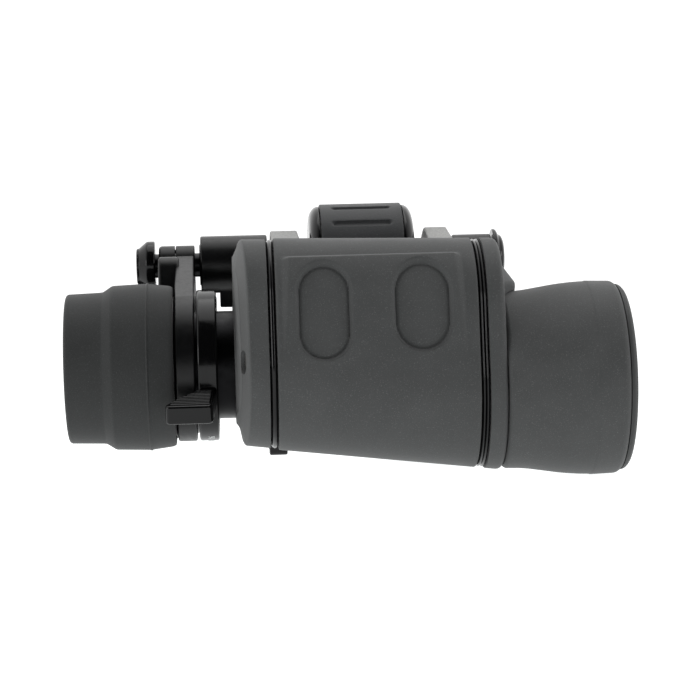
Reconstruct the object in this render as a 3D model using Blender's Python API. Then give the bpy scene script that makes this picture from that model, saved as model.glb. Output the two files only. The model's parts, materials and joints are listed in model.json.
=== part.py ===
"""Zoom binoculars of the Porro type, modelled as separate pieces at their real size.

The frame: +X points forwards to the objectives, +Y to the user's left, +Z up. The origin is under the
middle of the binoculars, level with the lowest point of the objective barrels. Sizes are in millimetres,
and MM turns them to metres. Each half is described by w, the distance outwards from the hinge plane,
so the right half is at y = -w and the left half at y = +w.
"""

import math

import bmesh
import bpy
from mathutils import Matrix, Vector

MM = 0.001
GAP = 0.3  # clearance between neighbouring pieces
SIDES = {"right": -1, "left": 1}

# --- driving dimensions -------------------------------------------------------------------------
HINGE_Z = 62.1
EYE_W, EYE_Z = 31.0, 32.6  # eyepiece axis, for an eye spacing of 62 mm
OBJ_W, OBJ_Z = 56.0, 26.4  # objective axis
OBJ_R = 26.4  # outer radius of an objective barrel at its front

# Prism housing: its section is a belt around four corner circles (w, z, radius), which change evenly
# from the rear section to the front one. In order: top inner, top outer, bottom outer, bottom inner.
SECTION_REAR_X, SECTION_FRONT_X = -19.5, 35.0
REAR_CORNERS = ((32.0, 58.1, 8.4), (57.0, 48.5, 18.0), (56.0, 31.1, 21.7), (31.0, 32.6, 20.5))
FRONT_CORNERS = ((34.0, 56.7, 8.5), (58.0, 45.1, 20.1), (56.0, 26.4, 23.5), (34.0, 31.1, 19.5))
SECTION_STEPS = 28

# Housing stations along X.
COVER_BACK_X, COVER_EDGE_X, COVER_SEAM_X = -29.4, -26.8, -20.4
SLEEVE_REAR_X, SLEEVE_FRONT_X = -18.3, 34.8
CHASSIS_X = (-20.1, 37.0)
REAR_TRIM_X, FRONT_TRIM_X = (-20.1, -18.6), (35.1, 37.0)
TRIM_INSET = 0.5  # the trim rings lie this far below the armour's face
FRONT_SEAM_X, FRONT_EDGE_X, FRONT_FACE_X = 37.3, 40.6, 41.9
SLEEVE_T = 2.4  # rubber armour
CHASSIS_T = 1.8  # cast prism housing
COVER_T = 2.2
COVER_BEVEL = (4.0, 8.0, 8.0, 3.5)  # how far in the rear cover's sloping edge runs at each corner
SCREW_W, SCREW_Z = 70.6, 33.2
PIT_R, SCREW_HEAD_R, SCREW_SHANK_R = 3.1, 2.6, 1.2
HOOD_W = (34.0, 61.0)
HOLLOWS = ((-5.6, 46.1, 12.8, 7.2), (20.6, 47.1, 12.0, 7.4))  # middle x and z, half length, half width
HOLLOW_DEPTH = 1.1

# Hinge and focus drive.
AXLE_R, AXLE_BORE_R = 6.0, 6.3
FRONT_AXLE_R, FRONT_AXLE_BORE_R = 5.0, 5.3
SHAFT_R, SHAFT_BORE_R = 3.5, 3.9
SOCKET_R, SOCKET_STUB_R = 3.3, 2.9  # quarter-inch tripod socket and the cap's stub
REAR_TUBE_X, REAR_TUBE_R = (-38.4, -18.8), 8.4
REAR_TUBE_ARM_X, FRONT_TUBE_ARM_X = (-32.8, -20.8), (37.6, 41.4)
LUG_FOOT, TUBE_FOOT = (33.0, 57.6, 6.5), (30.0, 55.5, 7.5)  # w, z and radius of the arms' feet
REAR_LUG_X, FRONT_LUG_X, LUG_R = (-17.8, -8.6), (26.5, 34.5), 9.4
FRONT_TUBE_X, FRONT_TUBE_R = (36.2, 47.5), 7.0
WHEEL_X, WHEEL_R = (-6.5, 24.2), 16.9
HUB_R = 5.8

# Eyepiece stations along X.
EYECUP_REAR_X, EYECUP_FRONT_X = -76.0, -46.2
ARM_X = (-45.6, -40.3)
WEB_X = (-50.6, -45.9)  # rear layer of the bridge arms, which carries the left hub
RING_R = 21.2  # bridge ring and zoom ring
ZOOM_X = (-39.6, -34.1)
TUBE_X, TUBE_R, TUBE_BORE_R = (-45.6, -17.5), 15.15, 13.2
LENS_R = 12.9  # lenses inside the eyepiece tube
LEVER_TILT = math.radians(203.5)  # direction of the zoom lever about the right eyepiece, from +Y to +Z
LEVER_T = 5.4

# Prisms.
PRISM_A = 18.2  # half of a prism's long face, and its height
SHELF_X = (8.0, 9.6)

# Steps around a turned piece: large ones that show, and small or inner ones.
FINE, COARSE = 28, 16

COLOURS = {
    "rubber": ((0.045, 0.046, 0.047), 0.75, 0.0),
    "black_plastic": ((0.015, 0.015, 0.016), 0.35, 0.0),
    "grey_paint": ((0.16, 0.16, 0.155), 0.45, 0.0),
    "anodised": ((0.03, 0.03, 0.032), 0.3, 0.8),
    "steel": ((0.5, 0.5, 0.5), 0.3, 1.0),
    "glass": ((0.55, 0.62, 0.6), 0.05, 0.0),
}


# --- helpers ------------------------------------------------------------------------------------
def clear_scene():
    for obj in list(bpy.data.objects):
        bpy.data.objects.remove(obj, do_unlink=True)


def material(name):
    """The named material, made once."""
    found = bpy.data.materials.get(name)
    if found:
        return found
    colour, roughness, metallic = COLOURS[name]
    made = bpy.data.materials.new(name)
    made.use_nodes = True
    shader = made.node_tree.nodes["Principled BSDF"]
    shader.inputs["Base Color"].default_value = (*colour, 1.0)
    shader.inputs["Roughness"].default_value = roughness
    shader.inputs["Metallic"].default_value = metallic
    return made


def finish(name, bm, material_name, origin=(0.0, 0.0, 0.0)):
    """An object from a bmesh in millimetres, with its origin at the given point."""
    bmesh.ops.remove_doubles(bm, verts=bm.verts, dist=1e-4)
    bmesh.ops.recalc_face_normals(bm, faces=bm.faces)
    bmesh.ops.translate(bm, verts=bm.verts, vec=-Vector(origin))
    bmesh.ops.scale(bm, verts=bm.verts, vec=(MM, MM, MM))
    mesh = bpy.data.meshes.new(name)
    bm.to_mesh(mesh)
    bm.free()
    mesh.shade_smooth()
    mesh.set_sharp_from_angle(angle=math.radians(35))
    mesh.materials.append(material(material_name))
    obj = bpy.data.objects.new(name, mesh)
    obj.location = Vector(origin) * MM
    bpy.context.scene.collection.objects.link(obj)
    return obj


def as_cutter(obj):
    obj.hide_render = True
    obj.display_type = "WIRE"
    return obj


def boolean(obj, other, operation):
    """Adds a live Boolean with a helper, which stays out of the render."""
    modifier = obj.modifiers.new(operation.lower(), "BOOLEAN")
    modifier.operation = operation
    modifier.object = as_cutter(other)
    return obj


def turned(profile, w_axis, z_axis, side, steps=FINE):
    """A bmesh turned about an axis along X. The profile is (x, radius) points of a closed outline;
    points at radius 0 lie on the axis."""
    bm = bmesh.new()
    centre = Vector((0.0, side * w_axis, z_axis))
    verts = [bm.verts.new(centre + Vector((x, 0.0, r))) for x, r in profile]
    for first, second in zip(verts, verts[1:] + verts[:1]):
        on_axis = first.co.z - z_axis < 1e-6 and second.co.z - z_axis < 1e-6
        if not on_axis:
            bm.edges.new((first, second))
    bmesh.ops.spin(
        bm,
        geom=bm.verts[:] + bm.edges[:],
        cent=centre,
        axis=(1.0, 0.0, 0.0),
        angle=math.tau,
        steps=steps,
        use_merge=True,
    )
    return bm


def loft(rings, closed=False):
    """A bmesh that joins rings of points in order. Closed joins the last ring to the first, as on a
    sleeve; otherwise the first and last rings are filled."""
    bm = bmesh.new()
    loops = [[bm.verts.new(point) for point in ring] for ring in rings]
    pairs = list(zip(loops, loops[1:]))
    if closed:
        pairs.append((loops[-1], loops[0]))
    else:
        bm.faces.new(loops[0])
        bm.faces.new(loops[-1])
    sides = []
    for first, second in pairs:
        for corner in range(len(first)):
            quad = (first[corner - 1], first[corner], second[corner], second[corner - 1])
            sides.append(bm.faces.new(quad))
    bmesh.ops.triangulate(bm, faces=sides)  # quads between unlike rings aren't flat
    return bm


def belt(circles, steps=SECTION_STEPS):
    """The outline of a belt around circles (w, z, radius), as (w, z) points with evenly turned normals."""
    return [(w, z) for (w, z), _, _ in belt_points(circles, steps)]


def belt_points(circles, steps=SECTION_STEPS):
    """The belt's points, each with its outward normal and the number of the circle it lies on."""
    points = []
    for step in range(steps):
        angle = math.tau * (step + 0.5) / steps
        normal = Vector((math.cos(angle), math.sin(angle)))
        reach = [Vector(circle[:2]).dot(normal) + circle[2] for circle in circles]
        number = reach.index(max(reach))
        w, z, r = circles[number]
        points.append((Vector((w, z)) + r * normal, normal, number))
    return points


def extruded(outline, x_range, side):
    """A bmesh of a (w, z) outline extruded along X."""
    return loft([[(x, side * w, z) for w, z in outline] for x in x_range])


def section(x, side, inset=0.0):
    """The housing's outline at x, drawn in by inset, which is one value or one for each corner."""
    share = (x - SECTION_REAR_X) / (SECTION_FRONT_X - SECTION_REAR_X)
    insets = inset if isinstance(inset, tuple) else (inset,) * 4
    outline = []
    for rear, front in zip(belt_points(REAR_CORNERS), belt_points(FRONT_CORNERS)):
        (start, normal, number), end = rear, front[0]
        point = start + (end - start) * share - normal * insets[number]
        outline.append((x, side * point.x, point.y))
    return outline


def sleeve(x_range, side, outer, inner):
    """A bmesh of a sleeve that follows the housing between two insets."""
    rear, front = x_range
    return loft(
        [
            section(rear, side, outer),
            section(front, side, outer),
            section(front, side, inner),
            section(rear, side, inner),
        ],
        closed=True,
    )


def block(name, x_range, w_range, z_range, side):
    """A plain box between three ranges."""
    (w0, w1), (z0, z1) = w_range, z_range
    outline = [(w0, z0), (w1, z0), (w1, z1), (w0, z1)]
    return finish(name, extruded(outline, x_range, side), "black_plastic")


def cylinder(name, x_range, w, z, radius, side, steps=FINE):
    """A plain round bar along X, for cuts and bosses."""
    rear, front = x_range
    profile = [(rear, 0.0), (rear, radius), (front, radius), (front, 0.0)]
    return finish(name, turned(profile, w, z, side, steps), "black_plastic")


def solid_section(name, x_range, side, inset):
    """The housing's full section between two stations, for cuts."""
    return finish(name, loft([section(x, side, inset) for x in x_range]), "black_plastic")


# --- prism housings -----------------------------------------------------------------------------
def prism_housing(half, side):
    """The cast chassis, open at both ends, where the covers close it."""
    outer = SLEEVE_T + GAP
    shape = sleeve(CHASSIS_X, side, outer, outer + CHASSIS_T)
    return finish(f"{half}_prism_housing", shape, "anodised")


def stadium(x_mid, z_mid, half_length, radius):
    """The outline of an upright oval with straight sides, as (x, z) points."""
    straight = half_length - radius
    steps = 9
    points = []
    for end, start in ((1, 0.0), (-1, math.pi)):
        for step in range(steps + 1):
            angle = start + math.pi * step / steps
            points.append(
                (x_mid + radius * math.cos(angle), z_mid + end * straight + radius * math.sin(angle))
            )
    return points


def armour_sleeve(half, side):
    """The rubber sleeve, with two oval finger hollows in its outer side."""
    shape = sleeve((SLEEVE_REAR_X, SLEEVE_FRONT_X), side, 0.0, SLEEVE_T)
    obj = finish(f"{half}_armour_sleeve", shape, "rubber")
    for number, (x, z, length, width) in enumerate(HOLLOWS):
        outline = stadium(x, z, length, width)
        rings = [[(px, side * w, pz) for px, pz in outline] for w in (60.0, 90.0)]
        cutter = finish(f"{half}_hollow_{number}", loft(rings), "rubber")
        core = solid_section(f"{half}_hollow_core_{number}", (x - 20.0, x + 20.0), side, HOLLOW_DEPTH)
        boolean(cutter, core, "DIFFERENCE")
        boolean(obj, cutter, "DIFFERENCE")
    if half == "right":
        past_rear, past_front = SLEEVE_REAR_X - 2.0, SLEEVE_FRONT_X + 2.0
        for name, x_range in (
            ("rear", (past_rear, REAR_LUG_X[1] + GAP)),
            ("front", (FRONT_LUG_X[0] - GAP, past_front)),
        ):
            notch = extruded(belt(lug_circles(GAP), COARSE), x_range, side)
            boolean(obj, finish(f"{half}_{name}_notch", notch, "rubber"), "DIFFERENCE")
    return obj


def trim_rings(half, side):
    """The glossy bands that show in the seams at both ends of the sleeve."""
    inner = SLEEVE_T - 0.1
    for end, x_range in (("rear", REAR_TRIM_X), ("front", FRONT_TRIM_X)):
        shape = sleeve(x_range, side, TRIM_INSET, inner)
        finish(f"{half}_{end}_trim_ring", shape, "black_plastic")


def rear_cover(half, side):
    """The rear cover: a shallow cap with a sloping edge, the eyepiece hole and a screw boss."""
    plate_x = COVER_BACK_X + COVER_T
    inner_bevel = tuple(max(depth - 0.8, COVER_T) for depth in COVER_BEVEL)
    rings = [
        section(plate_x, side, inner_bevel),
        section(COVER_EDGE_X + COVER_T, side, COVER_T),
        section(COVER_SEAM_X, side, COVER_T),
        section(COVER_SEAM_X, side, 0.3),
        section(COVER_EDGE_X, side, 0.3),
        section(COVER_EDGE_X - 0.7, side, 1.2),
        section(COVER_BACK_X, side, COVER_BEVEL),
    ]
    obj = finish(f"{half}_rear_cover", loft(rings), "rubber")
    boss = cylinder(f"{half}_screw_boss", (-27.0, -20.8), SCREW_W, SCREW_Z, 4.2, side, COARSE)
    boolean(obj, boss, "UNION")
    hole = cylinder(f"{half}_eyepiece_hole", (-40.0, -10.0), EYE_W, EYE_Z, TUBE_R + 0.45, side)
    boolean(obj, hole, "DIFFERENCE")
    shank_room = SCREW_SHANK_R + GAP
    pit = [
        (-32.0, 0.0),
        (-32.0, PIT_R),
        (-24.9, PIT_R),
        (-24.9, shank_room),
        (-15.0, shank_room),
        (-15.0, 0.0),
    ]
    cutter = finish(f"{half}_screw_pit", turned(pit, SCREW_W, SCREW_Z, side, COARSE), "rubber")
    boolean(obj, cutter, "DIFFERENCE")
    return obj


def cover_screw(half, side):
    """The screw that holds the rear cover, sunk in its pit."""
    profile = [
        (-26.8, 0.0),
        (-26.8, 2.0),
        (-26.3, SCREW_HEAD_R),
        (-25.2, SCREW_HEAD_R),
        (-25.2, SCREW_SHANK_R),
        (-18.5, SCREW_SHANK_R),
        (-18.5, 0.0),
    ]
    finish(f"{half}_cover_screw", turned(profile, SCREW_W, SCREW_Z, side, COARSE), "steel")


def front_cover(half, side):
    """The front cover: a shallow cap that holds the barrel, with a hood that sweeps down over it."""
    rings = [
        section(FRONT_FACE_X - COVER_T, side, COVER_T),
        section(FRONT_SEAM_X, side, COVER_T),
        section(FRONT_SEAM_X, side, 0.0),
        section(FRONT_EDGE_X, side, 0.1),
        section(FRONT_FACE_X, side, 1.3),
    ]
    obj = finish(f"{half}_front_cover", loft(rings), "rubber")
    # Outline (x, z) of the hood: a hollow sweep from the cover's top to a blunt tip above the barrel.
    sweep_start, sweep_end, sag = Vector((40.9, 64.6)), Vector((49.1, 53.4)), 1.3
    normal = Vector((-1.0, -0.73)).normalized()
    sweep = []
    for step in range(9):
        share = step / 8
        sweep.append(sweep_start.lerp(sweep_end, share) + normal * sag * math.sin(math.pi * share))
    outline = [(40.5, 51.6), (40.5, 64.7), *[tuple(point) for point in sweep], (49.3, 52.4), (47.6, 51.6)]
    rings = [[(x, side * w, z) for x, z in outline] for w in HOOD_W]
    hood = finish(f"{half}_hood", loft(rings), "rubber")
    boolean(obj, hood, "UNION")
    hole = cylinder(f"{half}_barrel_hole", (20.0, 60.0), OBJ_W, OBJ_Z, 18.7, side)
    boolean(obj, hole, "DIFFERENCE")
    room = [(41.95, 0.0), (41.95, 24.4), (56.0, 26.4), (56.0, 0.0)]
    cutter = finish(f"{half}_barrel_room", turned(room, OBJ_W, OBJ_Z, side), "rubber")
    boolean(obj, cutter, "DIFFERENCE")
    return obj


def strap_lug(half, side):
    """The eye under the housing that the neck strap passes through."""
    x_range = (-20.5, -15.5)
    obj = block(f"{half}_strap_lug", x_range, (30.0, 46.0), (7.3, 18.0), side)
    slot = block(f"{half}_strap_slot", (-25.0, -10.0), (32.3, 43.7), (8.9, 22.0), side)
    boolean(obj, slot, "DIFFERENCE")
    body = solid_section(f"{half}_strap_seat", (-25.0, -10.0), side, -GAP)
    boolean(obj, body, "DIFFERENCE")
    return obj


# --- hinge --------------------------------------------------------------------------------------
def lug_circles(extra=0.0, barrel=LUG_R, foot=LUG_FOOT):
    """The belt of a hinge lug: its barrel round the hinge, and its foot in the housing's top corner."""
    return ((0.0, HINGE_Z, barrel + extra), (foot[0], foot[1], foot[2] + extra))


def hinge_lug(name, x_range, arm_x, side, barrel, bore, seat_inset, foot):
    """A hinge barrel with an arm that stands on the housing, leaving a gap to it."""
    obj = cylinder(name, x_range, 0.0, HINGE_Z, barrel, side)
    arm = extruded(belt(lug_circles(barrel=barrel, foot=foot), COARSE), arm_x, side)
    boolean(obj, finish(f"{name}_arm", arm, "grey_paint"), "UNION")
    seat = solid_section(f"{name}_seat", (arm_x[0] - 5.0, arm_x[1] + 5.0), side, seat_inset)
    boolean(obj, seat, "DIFFERENCE")
    past_ends = (x_range[0] - 5.0, x_range[1] + 5.0)
    hole = cylinder(f"{name}_bore", past_ends, 0.0, HINGE_Z, bore, side)
    boolean(obj, hole, "DIFFERENCE")
    obj.data.materials[0] = material("grey_paint")
    return obj


def hinge():
    """The lugs of both halves, and the two hollow axles that join them."""
    right, left = SIDES["right"], SIDES["left"]
    tube_arm, front_arm = REAR_TUBE_ARM_X, FRONT_TUBE_ARM_X
    big, small = AXLE_BORE_R, FRONT_AXLE_BORE_R
    # name, barrel's x range, arm's x range, side, barrel and bore radius, inset of the seat, foot
    parts = (
        ("right_rear_hinge_lug", REAR_LUG_X, REAR_LUG_X, right, LUG_R, big, SLEEVE_T, LUG_FOOT),
        ("right_front_hinge_lug", FRONT_LUG_X, FRONT_LUG_X, right, LUG_R, small, SLEEVE_T, LUG_FOOT),
        ("left_rear_hinge_tube", REAR_TUBE_X, tube_arm, left, REAR_TUBE_R, big, 0.0, TUBE_FOOT),
        ("left_front_hinge_tube", FRONT_TUBE_X, front_arm, left, FRONT_TUBE_R, small, -GAP, LUG_FOOT),
    )
    for part in parts:
        hinge_lug(*part)
    rear = [(-38.7, SHAFT_BORE_R), (-38.7, AXLE_R), (-7.1, AXLE_R), (-7.1, SHAFT_BORE_R)]
    finish("rear_hinge_axle", turned(rear, 0.0, HINGE_Z, 1, COARSE), "anodised")
    front = [
        (24.9, 0.0),
        (24.9, FRONT_AXLE_R),
        (47.3, FRONT_AXLE_R),
        (47.3, SOCKET_R),
        (37.0, SOCKET_R),
        (37.0, 0.0),
    ]
    finish("front_hinge_axle", turned(front, 0.0, HINGE_Z, 1, COARSE), "anodised")


def tripod_cap():
    """The screw cap that closes the tripod socket, stepped and flat at the front."""
    profile = [
        (38.6, 0.0),
        (38.6, SOCKET_STUB_R),
        (47.9, SOCKET_STUB_R),
        (47.9, 8.3),
        (48.3, 8.5),
        (49.1, 8.2),
        (49.6, 7.2),
        (50.5, 6.6),
        (51.2, 5.2),
        (51.2, 0.0),
    ]
    finish("tripod_cap", turned(profile, 0.0, HINGE_Z, 1, COARSE), "black_plastic", (0, 0, HINGE_Z))


# --- focus drive --------------------------------------------------------------------------------
def focus_drive():
    """The wheel with its rubber grip, the threaded shaft and the knob that ends it."""
    axis = (0.0, 0.0, HINGE_Z)
    rear, front = WHEEL_X
    core_r = 14.4
    half = [(0.0, SHAFT_BORE_R), (0.0, 12.6), (0.35, 14.3), (1.4, 15.7), (3.1, 16.3), (3.1, core_r)]
    profile = [(rear + x, r) for x, r in half] + [(front - x, r) for x, r in reversed(half)]
    finish("focus_wheel", turned(profile, 0.0, HINGE_Z, 1, COARSE), "black_plastic", axis)
    grip_rear, grip_front = rear + 3.1 + GAP, front - 3.1 - GAP
    inner = core_r + GAP
    grip = [(grip_rear, inner), (grip_rear, WHEEL_R), (grip_front, WHEEL_R), (grip_front, inner)]
    finish("focus_wheel_grip", turned(grip, 0.0, HINGE_Z, 1), "rubber", axis)
    cylinder("focus_shaft", (-54.6, 19.0), 0.0, HINGE_Z, SHAFT_R, 1, COARSE)
    knob = [
        (-57.2, 0.0),
        (-57.2, 5.3),
        (-56.5, 5.3),
        (-54.1, 7.4),
        (-51.7, 7.4),
        (-51.7, SHAFT_BORE_R),
        (-54.9, SHAFT_BORE_R),
        (-54.9, 0.0),
    ]
    finish("shaft_end_knob", turned(knob, 0.0, HINGE_Z, 1, COARSE), "black_plastic")


def bridge_arm(half, side):
    """An arm of the eyepiece bridge: a hub on the focus shaft, a plate, and the ring that holds the tube.
    The left hub lies behind the right one, so each arm leaves room for the other's hub."""
    plate = belt(((5.6, 60.4, 4.2), (EYE_W, EYE_Z, RING_R)))
    name = f"{half}_bridge_arm"
    obj = finish(name, extruded(plate, ARM_X, side), "black_plastic", (0, 0, HINGE_Z))
    rear_web = [(11.6, 59.6, 4.6), (14.5, 54.8, 3.4)]
    if half == "left":
        rear_web.append((0.0, HINGE_Z, HUB_R))
    web = extruded(belt(rear_web, COARSE), (WEB_X[0], ARM_X[0] + 1.0), side)
    boolean(obj, finish(f"{name}_web", web, "black_plastic"), "UNION")
    if half == "left":
        room = cylinder(f"{name}_room", (WEB_X[1], 0.0), 0.0, HINGE_Z, HUB_R + 0.5, side)
        boolean(obj, room, "DIFFERENCE")
    else:
        hub = cylinder(f"{name}_hub", (ARM_X[0], ARM_X[1] + 0.2), 0.0, HINGE_Z, HUB_R, side, COARSE)
        boolean(obj, hub, "UNION")
    for hole, w, z, radius in (("shaft", 0.0, HINGE_Z, SHAFT_BORE_R), ("tube", EYE_W, EYE_Z, TUBE_R + GAP)):
        cutter = cylinder(f"{name}_{hole}_hole", (-60.0, -30.0), w, z, radius, side)
        boolean(obj, cutter, "DIFFERENCE")
    return obj


# --- eyepieces ----------------------------------------------------------------------------------
def lens(x_rear, x_front, radius, rear_curve, front_curve, rings=3):
    """The profile of a lens whose faces bulge by the given sags; a negative sag hollows the face."""
    profile = [(x_rear - rear_curve, 0.0)]
    for step in range(1, rings + 1):
        r = radius * step / rings
        profile.append((x_rear - rear_curve * (1 - (r / radius) ** 2), r))
    for step in range(rings, 0, -1):
        r = radius * step / rings
        profile.append((x_front + front_curve * (1 - (r / radius) ** 2), r))
    profile.append((x_front + front_curve, 0.0))
    return profile


def eyepiece(half, side):
    """The tube that slides in the rear cover, its lenses, the head ring and the rubber eyecup."""
    axis = (0.0, side * EYE_W, EYE_Z)

    def piece(name, profile, material_name, steps=COARSE):
        return finish(f"{half}_{name}", turned(profile, EYE_W, EYE_Z, side, steps), material_name, axis)

    rear, front = TUBE_X
    tube = [(rear, TUBE_BORE_R), (rear, TUBE_R), (front, TUBE_R), (front, TUBE_BORE_R)]
    piece("eyepiece_tube", tube, "anodised", FINE)
    piece("field_lens", lens(-23.0, -20.5, LENS_R, 1.2, 1.0), "glass")
    piece("zoom_lens", lens(-39.5, -36.0, LENS_R, 1.2, -1.0), "glass")
    piece("eye_lens", lens(-60.4, -57.0, 11.9, 1.0, 1.2), "glass")
    head = [(-61.7, 12.2), (-61.7, 19.6), (-45.9, 19.6), (-45.9, 13.6), (-55.2, 13.6), (-55.2, 12.2)]
    piece("diopter_ring" if half == "right" else "eyepiece_head", head, "black_plastic")
    fold_x = -53.2  # moulded ridge where the eyecup is folded back
    cup = [
        (EYECUP_REAR_X, 18.3),
        (EYECUP_REAR_X, 20.2),
        (-75.3, 20.9),
        (-66.2, 21.2),
        (-65.4, 21.3),
        (-63.0, 23.0),
        (fold_x, 23.6),
        (-46.8, 22.6),
        (EYECUP_FRONT_X, 22.2),
        (EYECUP_FRONT_X, 19.9),
        (-62.0, 19.9),
        (-62.0, 14.4),
        (-63.8, 14.4),
        (-63.8, 17.3),
    ]
    piece("eyecup", cup, "rubber", FINE)


def zoom_rings():
    """The zoom ring of each eyepiece. The right one carries the lever, which flares towards the eye."""
    bore = TUBE_R + 0.4
    for half, side in SIDES.items():
        rear, front = ZOOM_X
        profile = [(rear, bore), (rear, RING_R - 0.4), (rear + 0.4, RING_R), (front, RING_R), (front, bore)]
        axis = (0.0, side * EYE_W, EYE_Z)
        obj = finish(f"{half}_zoom_ring", turned(profile, EYE_W, EYE_Z, side), "black_plastic", axis)
        if half == "left":
            continue
        outline = [
            (-39.2, 18.6),
            (-34.5, 18.6),
            (-34.5, 22.4),
            (-35.7, 33.4),
            (-48.0, 33.4),
            (-48.4, 32.8),
            (-45.4, 27.8),
            (-39.3, 21.6),
        ]
        rings = [[Vector((x, t, r)) for x, r in outline] for t in (-LEVER_T / 2, LEVER_T / 2)]
        bm = loft(rings)
        turn = Matrix.Rotation(LEVER_TILT - math.pi / 2, 4, "X")
        bmesh.ops.transform(bm, verts=bm.verts, matrix=Matrix.Translation(axis) @ turn)
        boolean(obj, finish("zoom_lever_shape", bm, "black_plastic"), "UNION")


# --- optics in the housings ---------------------------------------------------------------------
def objective(half, side):
    """The barrel with its rubber skin, the front ring, the lens and the ring that holds it."""
    axis = (0.0, side * OBJ_W, OBJ_Z)

    def piece(name, profile, material_name, steps=FINE):
        return finish(f"{half}_{name}", turned(profile, OBJ_W, OBJ_Z, side, steps), material_name, axis)

    barrel = [
        (31.0, 16.6),
        (31.0, 18.4),
        (42.2, 18.4),
        (42.2, 24.0),
        (48.5, 24.3),
        (56.0, 25.5),
        (62.5, OBJ_R),
        (72.6, OBJ_R),
        (74.0, 26.0),
        (74.0, 22.3),
        (66.3, 22.3),
        (66.3, 20.5),
        (57.0, 20.5),
        (57.0, 18.4),
        (44.2, 16.6),
    ]
    piece("objective_barrel", barrel, "rubber")
    ring = [(74.3, 22.4), (74.3, 25.7), (75.3, 25.4), (76.0, 24.6), (76.0, 22.4)]
    piece("objective_front_ring", ring, "black_plastic")
    piece("objective_lens", lens(58.0, 64.6, 20.2, -0.6, 2.4, 4), "glass", COARSE)
    holder = [(66.6, 18.6), (66.6, 22.0), (68.6, 22.0), (68.6, 19.4), (67.8, 18.6)]
    piece("objective_lens_ring", holder, "anodised", COARSE)


def prisms(half, side):
    """Two right-angle prisms on a shelf. Light comes in beside the front prism, turns in the rear one,
    turns again in the front one, and leaves beside the rear one."""
    enter, leave = Vector((OBJ_W, OBJ_Z)), Vector((EYE_W, EYE_Z))
    middle = (enter + leave) / 2
    half_step = (leave - enter) / 2
    turn_point = middle + Vector((half_step.y, -half_step.x))  # between the two prisms, above the middle
    blunt = 1.2
    for name, first, second, face_x, apex in (
        ("rear", enter, turn_point, SHELF_X[0] - GAP, -1),
        ("front", turn_point, leave, SHELF_X[1] + GAP, 1),
    ):
        along = (second - first).normalized()
        across = Vector((-along.y, along.x))
        centre = (first + second) / 2
        reach = PRISM_A - blunt
        ridge = PRISM_A - 0.6
        profile = [(reach, 0.0), (reach, blunt), (0.6, ridge), (-0.6, ridge), (-reach, blunt), (-reach, 0.0)]
        rings = []
        for offset in (-PRISM_A / 2, PRISM_A / 2):
            ring = []
            for a, depth in profile:
                point = centre + along * a + across * offset
                ring.append((face_x + apex * depth, side * point.x, point.y))
            rings.append(ring)
        finish(f"{half}_{name}_prism", loft(rings), "glass")
    shelf = finish(
        f"{half}_prism_shelf",
        loft([section(x, side, SLEEVE_T + CHASSIS_T + 2 * GAP) for x in SHELF_X]),
        "anodised",
    )
    for number, point in enumerate((enter, turn_point, leave)):
        hole = cylinder(f"{half}_shelf_hole_{number}", (0.0, 20.0), point.x, point.y, 8.4, side, COARSE)
        boolean(shelf, hole, "DIFFERENCE")


def main():
    clear_scene()
    for half, side in SIDES.items():
        prism_housing(half, side)
        armour_sleeve(half, side)
        trim_rings(half, side)
        rear_cover(half, side)
        cover_screw(half, side)
        front_cover(half, side)
        strap_lug(half, side)
        objective(half, side)
        prisms(half, side)
        bridge_arm(half, side)
        eyepiece(half, side)
    zoom_rings()
    hinge()
    tripod_cap()
    focus_drive()


main()
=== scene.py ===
"""Looks of a pair of Porro-prism zoom binoculars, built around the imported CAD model.

Lengths in the classes are millimetres in the model's frame: +X points forwards to the objectives, +Y to
the user's left and +Z up. A place in one half is given as w, the distance outwards from the hinge plane,
so the right half lies at y = -w and the left half at y = +w. Meshes are built in millimetres and turned
to metres when they are finished.
"""

import json
import logging
import math
from collections.abc import Callable, Iterable, Sequence
from dataclasses import dataclass, field
from enum import Enum
from typing import Any

import bmesh
import bpy
from mathutils import Matrix, Vector


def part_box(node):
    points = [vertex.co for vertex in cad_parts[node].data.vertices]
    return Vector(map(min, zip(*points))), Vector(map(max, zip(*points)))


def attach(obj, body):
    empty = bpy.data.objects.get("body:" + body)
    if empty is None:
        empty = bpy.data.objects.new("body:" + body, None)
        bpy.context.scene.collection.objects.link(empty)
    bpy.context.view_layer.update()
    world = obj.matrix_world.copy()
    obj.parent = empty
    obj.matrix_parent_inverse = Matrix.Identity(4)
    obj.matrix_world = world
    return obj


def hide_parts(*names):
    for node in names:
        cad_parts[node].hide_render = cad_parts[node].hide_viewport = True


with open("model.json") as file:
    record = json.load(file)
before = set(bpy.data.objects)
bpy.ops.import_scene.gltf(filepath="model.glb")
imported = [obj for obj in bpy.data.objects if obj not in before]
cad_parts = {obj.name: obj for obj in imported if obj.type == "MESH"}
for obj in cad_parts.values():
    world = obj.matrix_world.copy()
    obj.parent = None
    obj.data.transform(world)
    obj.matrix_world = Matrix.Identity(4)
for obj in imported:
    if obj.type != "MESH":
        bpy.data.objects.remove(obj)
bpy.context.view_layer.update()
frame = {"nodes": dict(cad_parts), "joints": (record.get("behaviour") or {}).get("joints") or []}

LOG = logging.getLogger("binoculars")
MM = 0.001
MID_ROUND = 0.29  # how deep the middle of a quarter round lies, as a share of its radius

Outline = Sequence[tuple[float, float, float]]
Circle = tuple[float, float, float]
Corners = tuple[Circle, Circle, Circle, Circle]


class Half(Enum):
    """One half of the binoculars, with the sign of y on its side."""

    RIGHT = -1
    LEFT = 1

    @property
    def label(self) -> str:
        """The half's name as the nodes spell it."""
        return self.name.lower()


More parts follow.
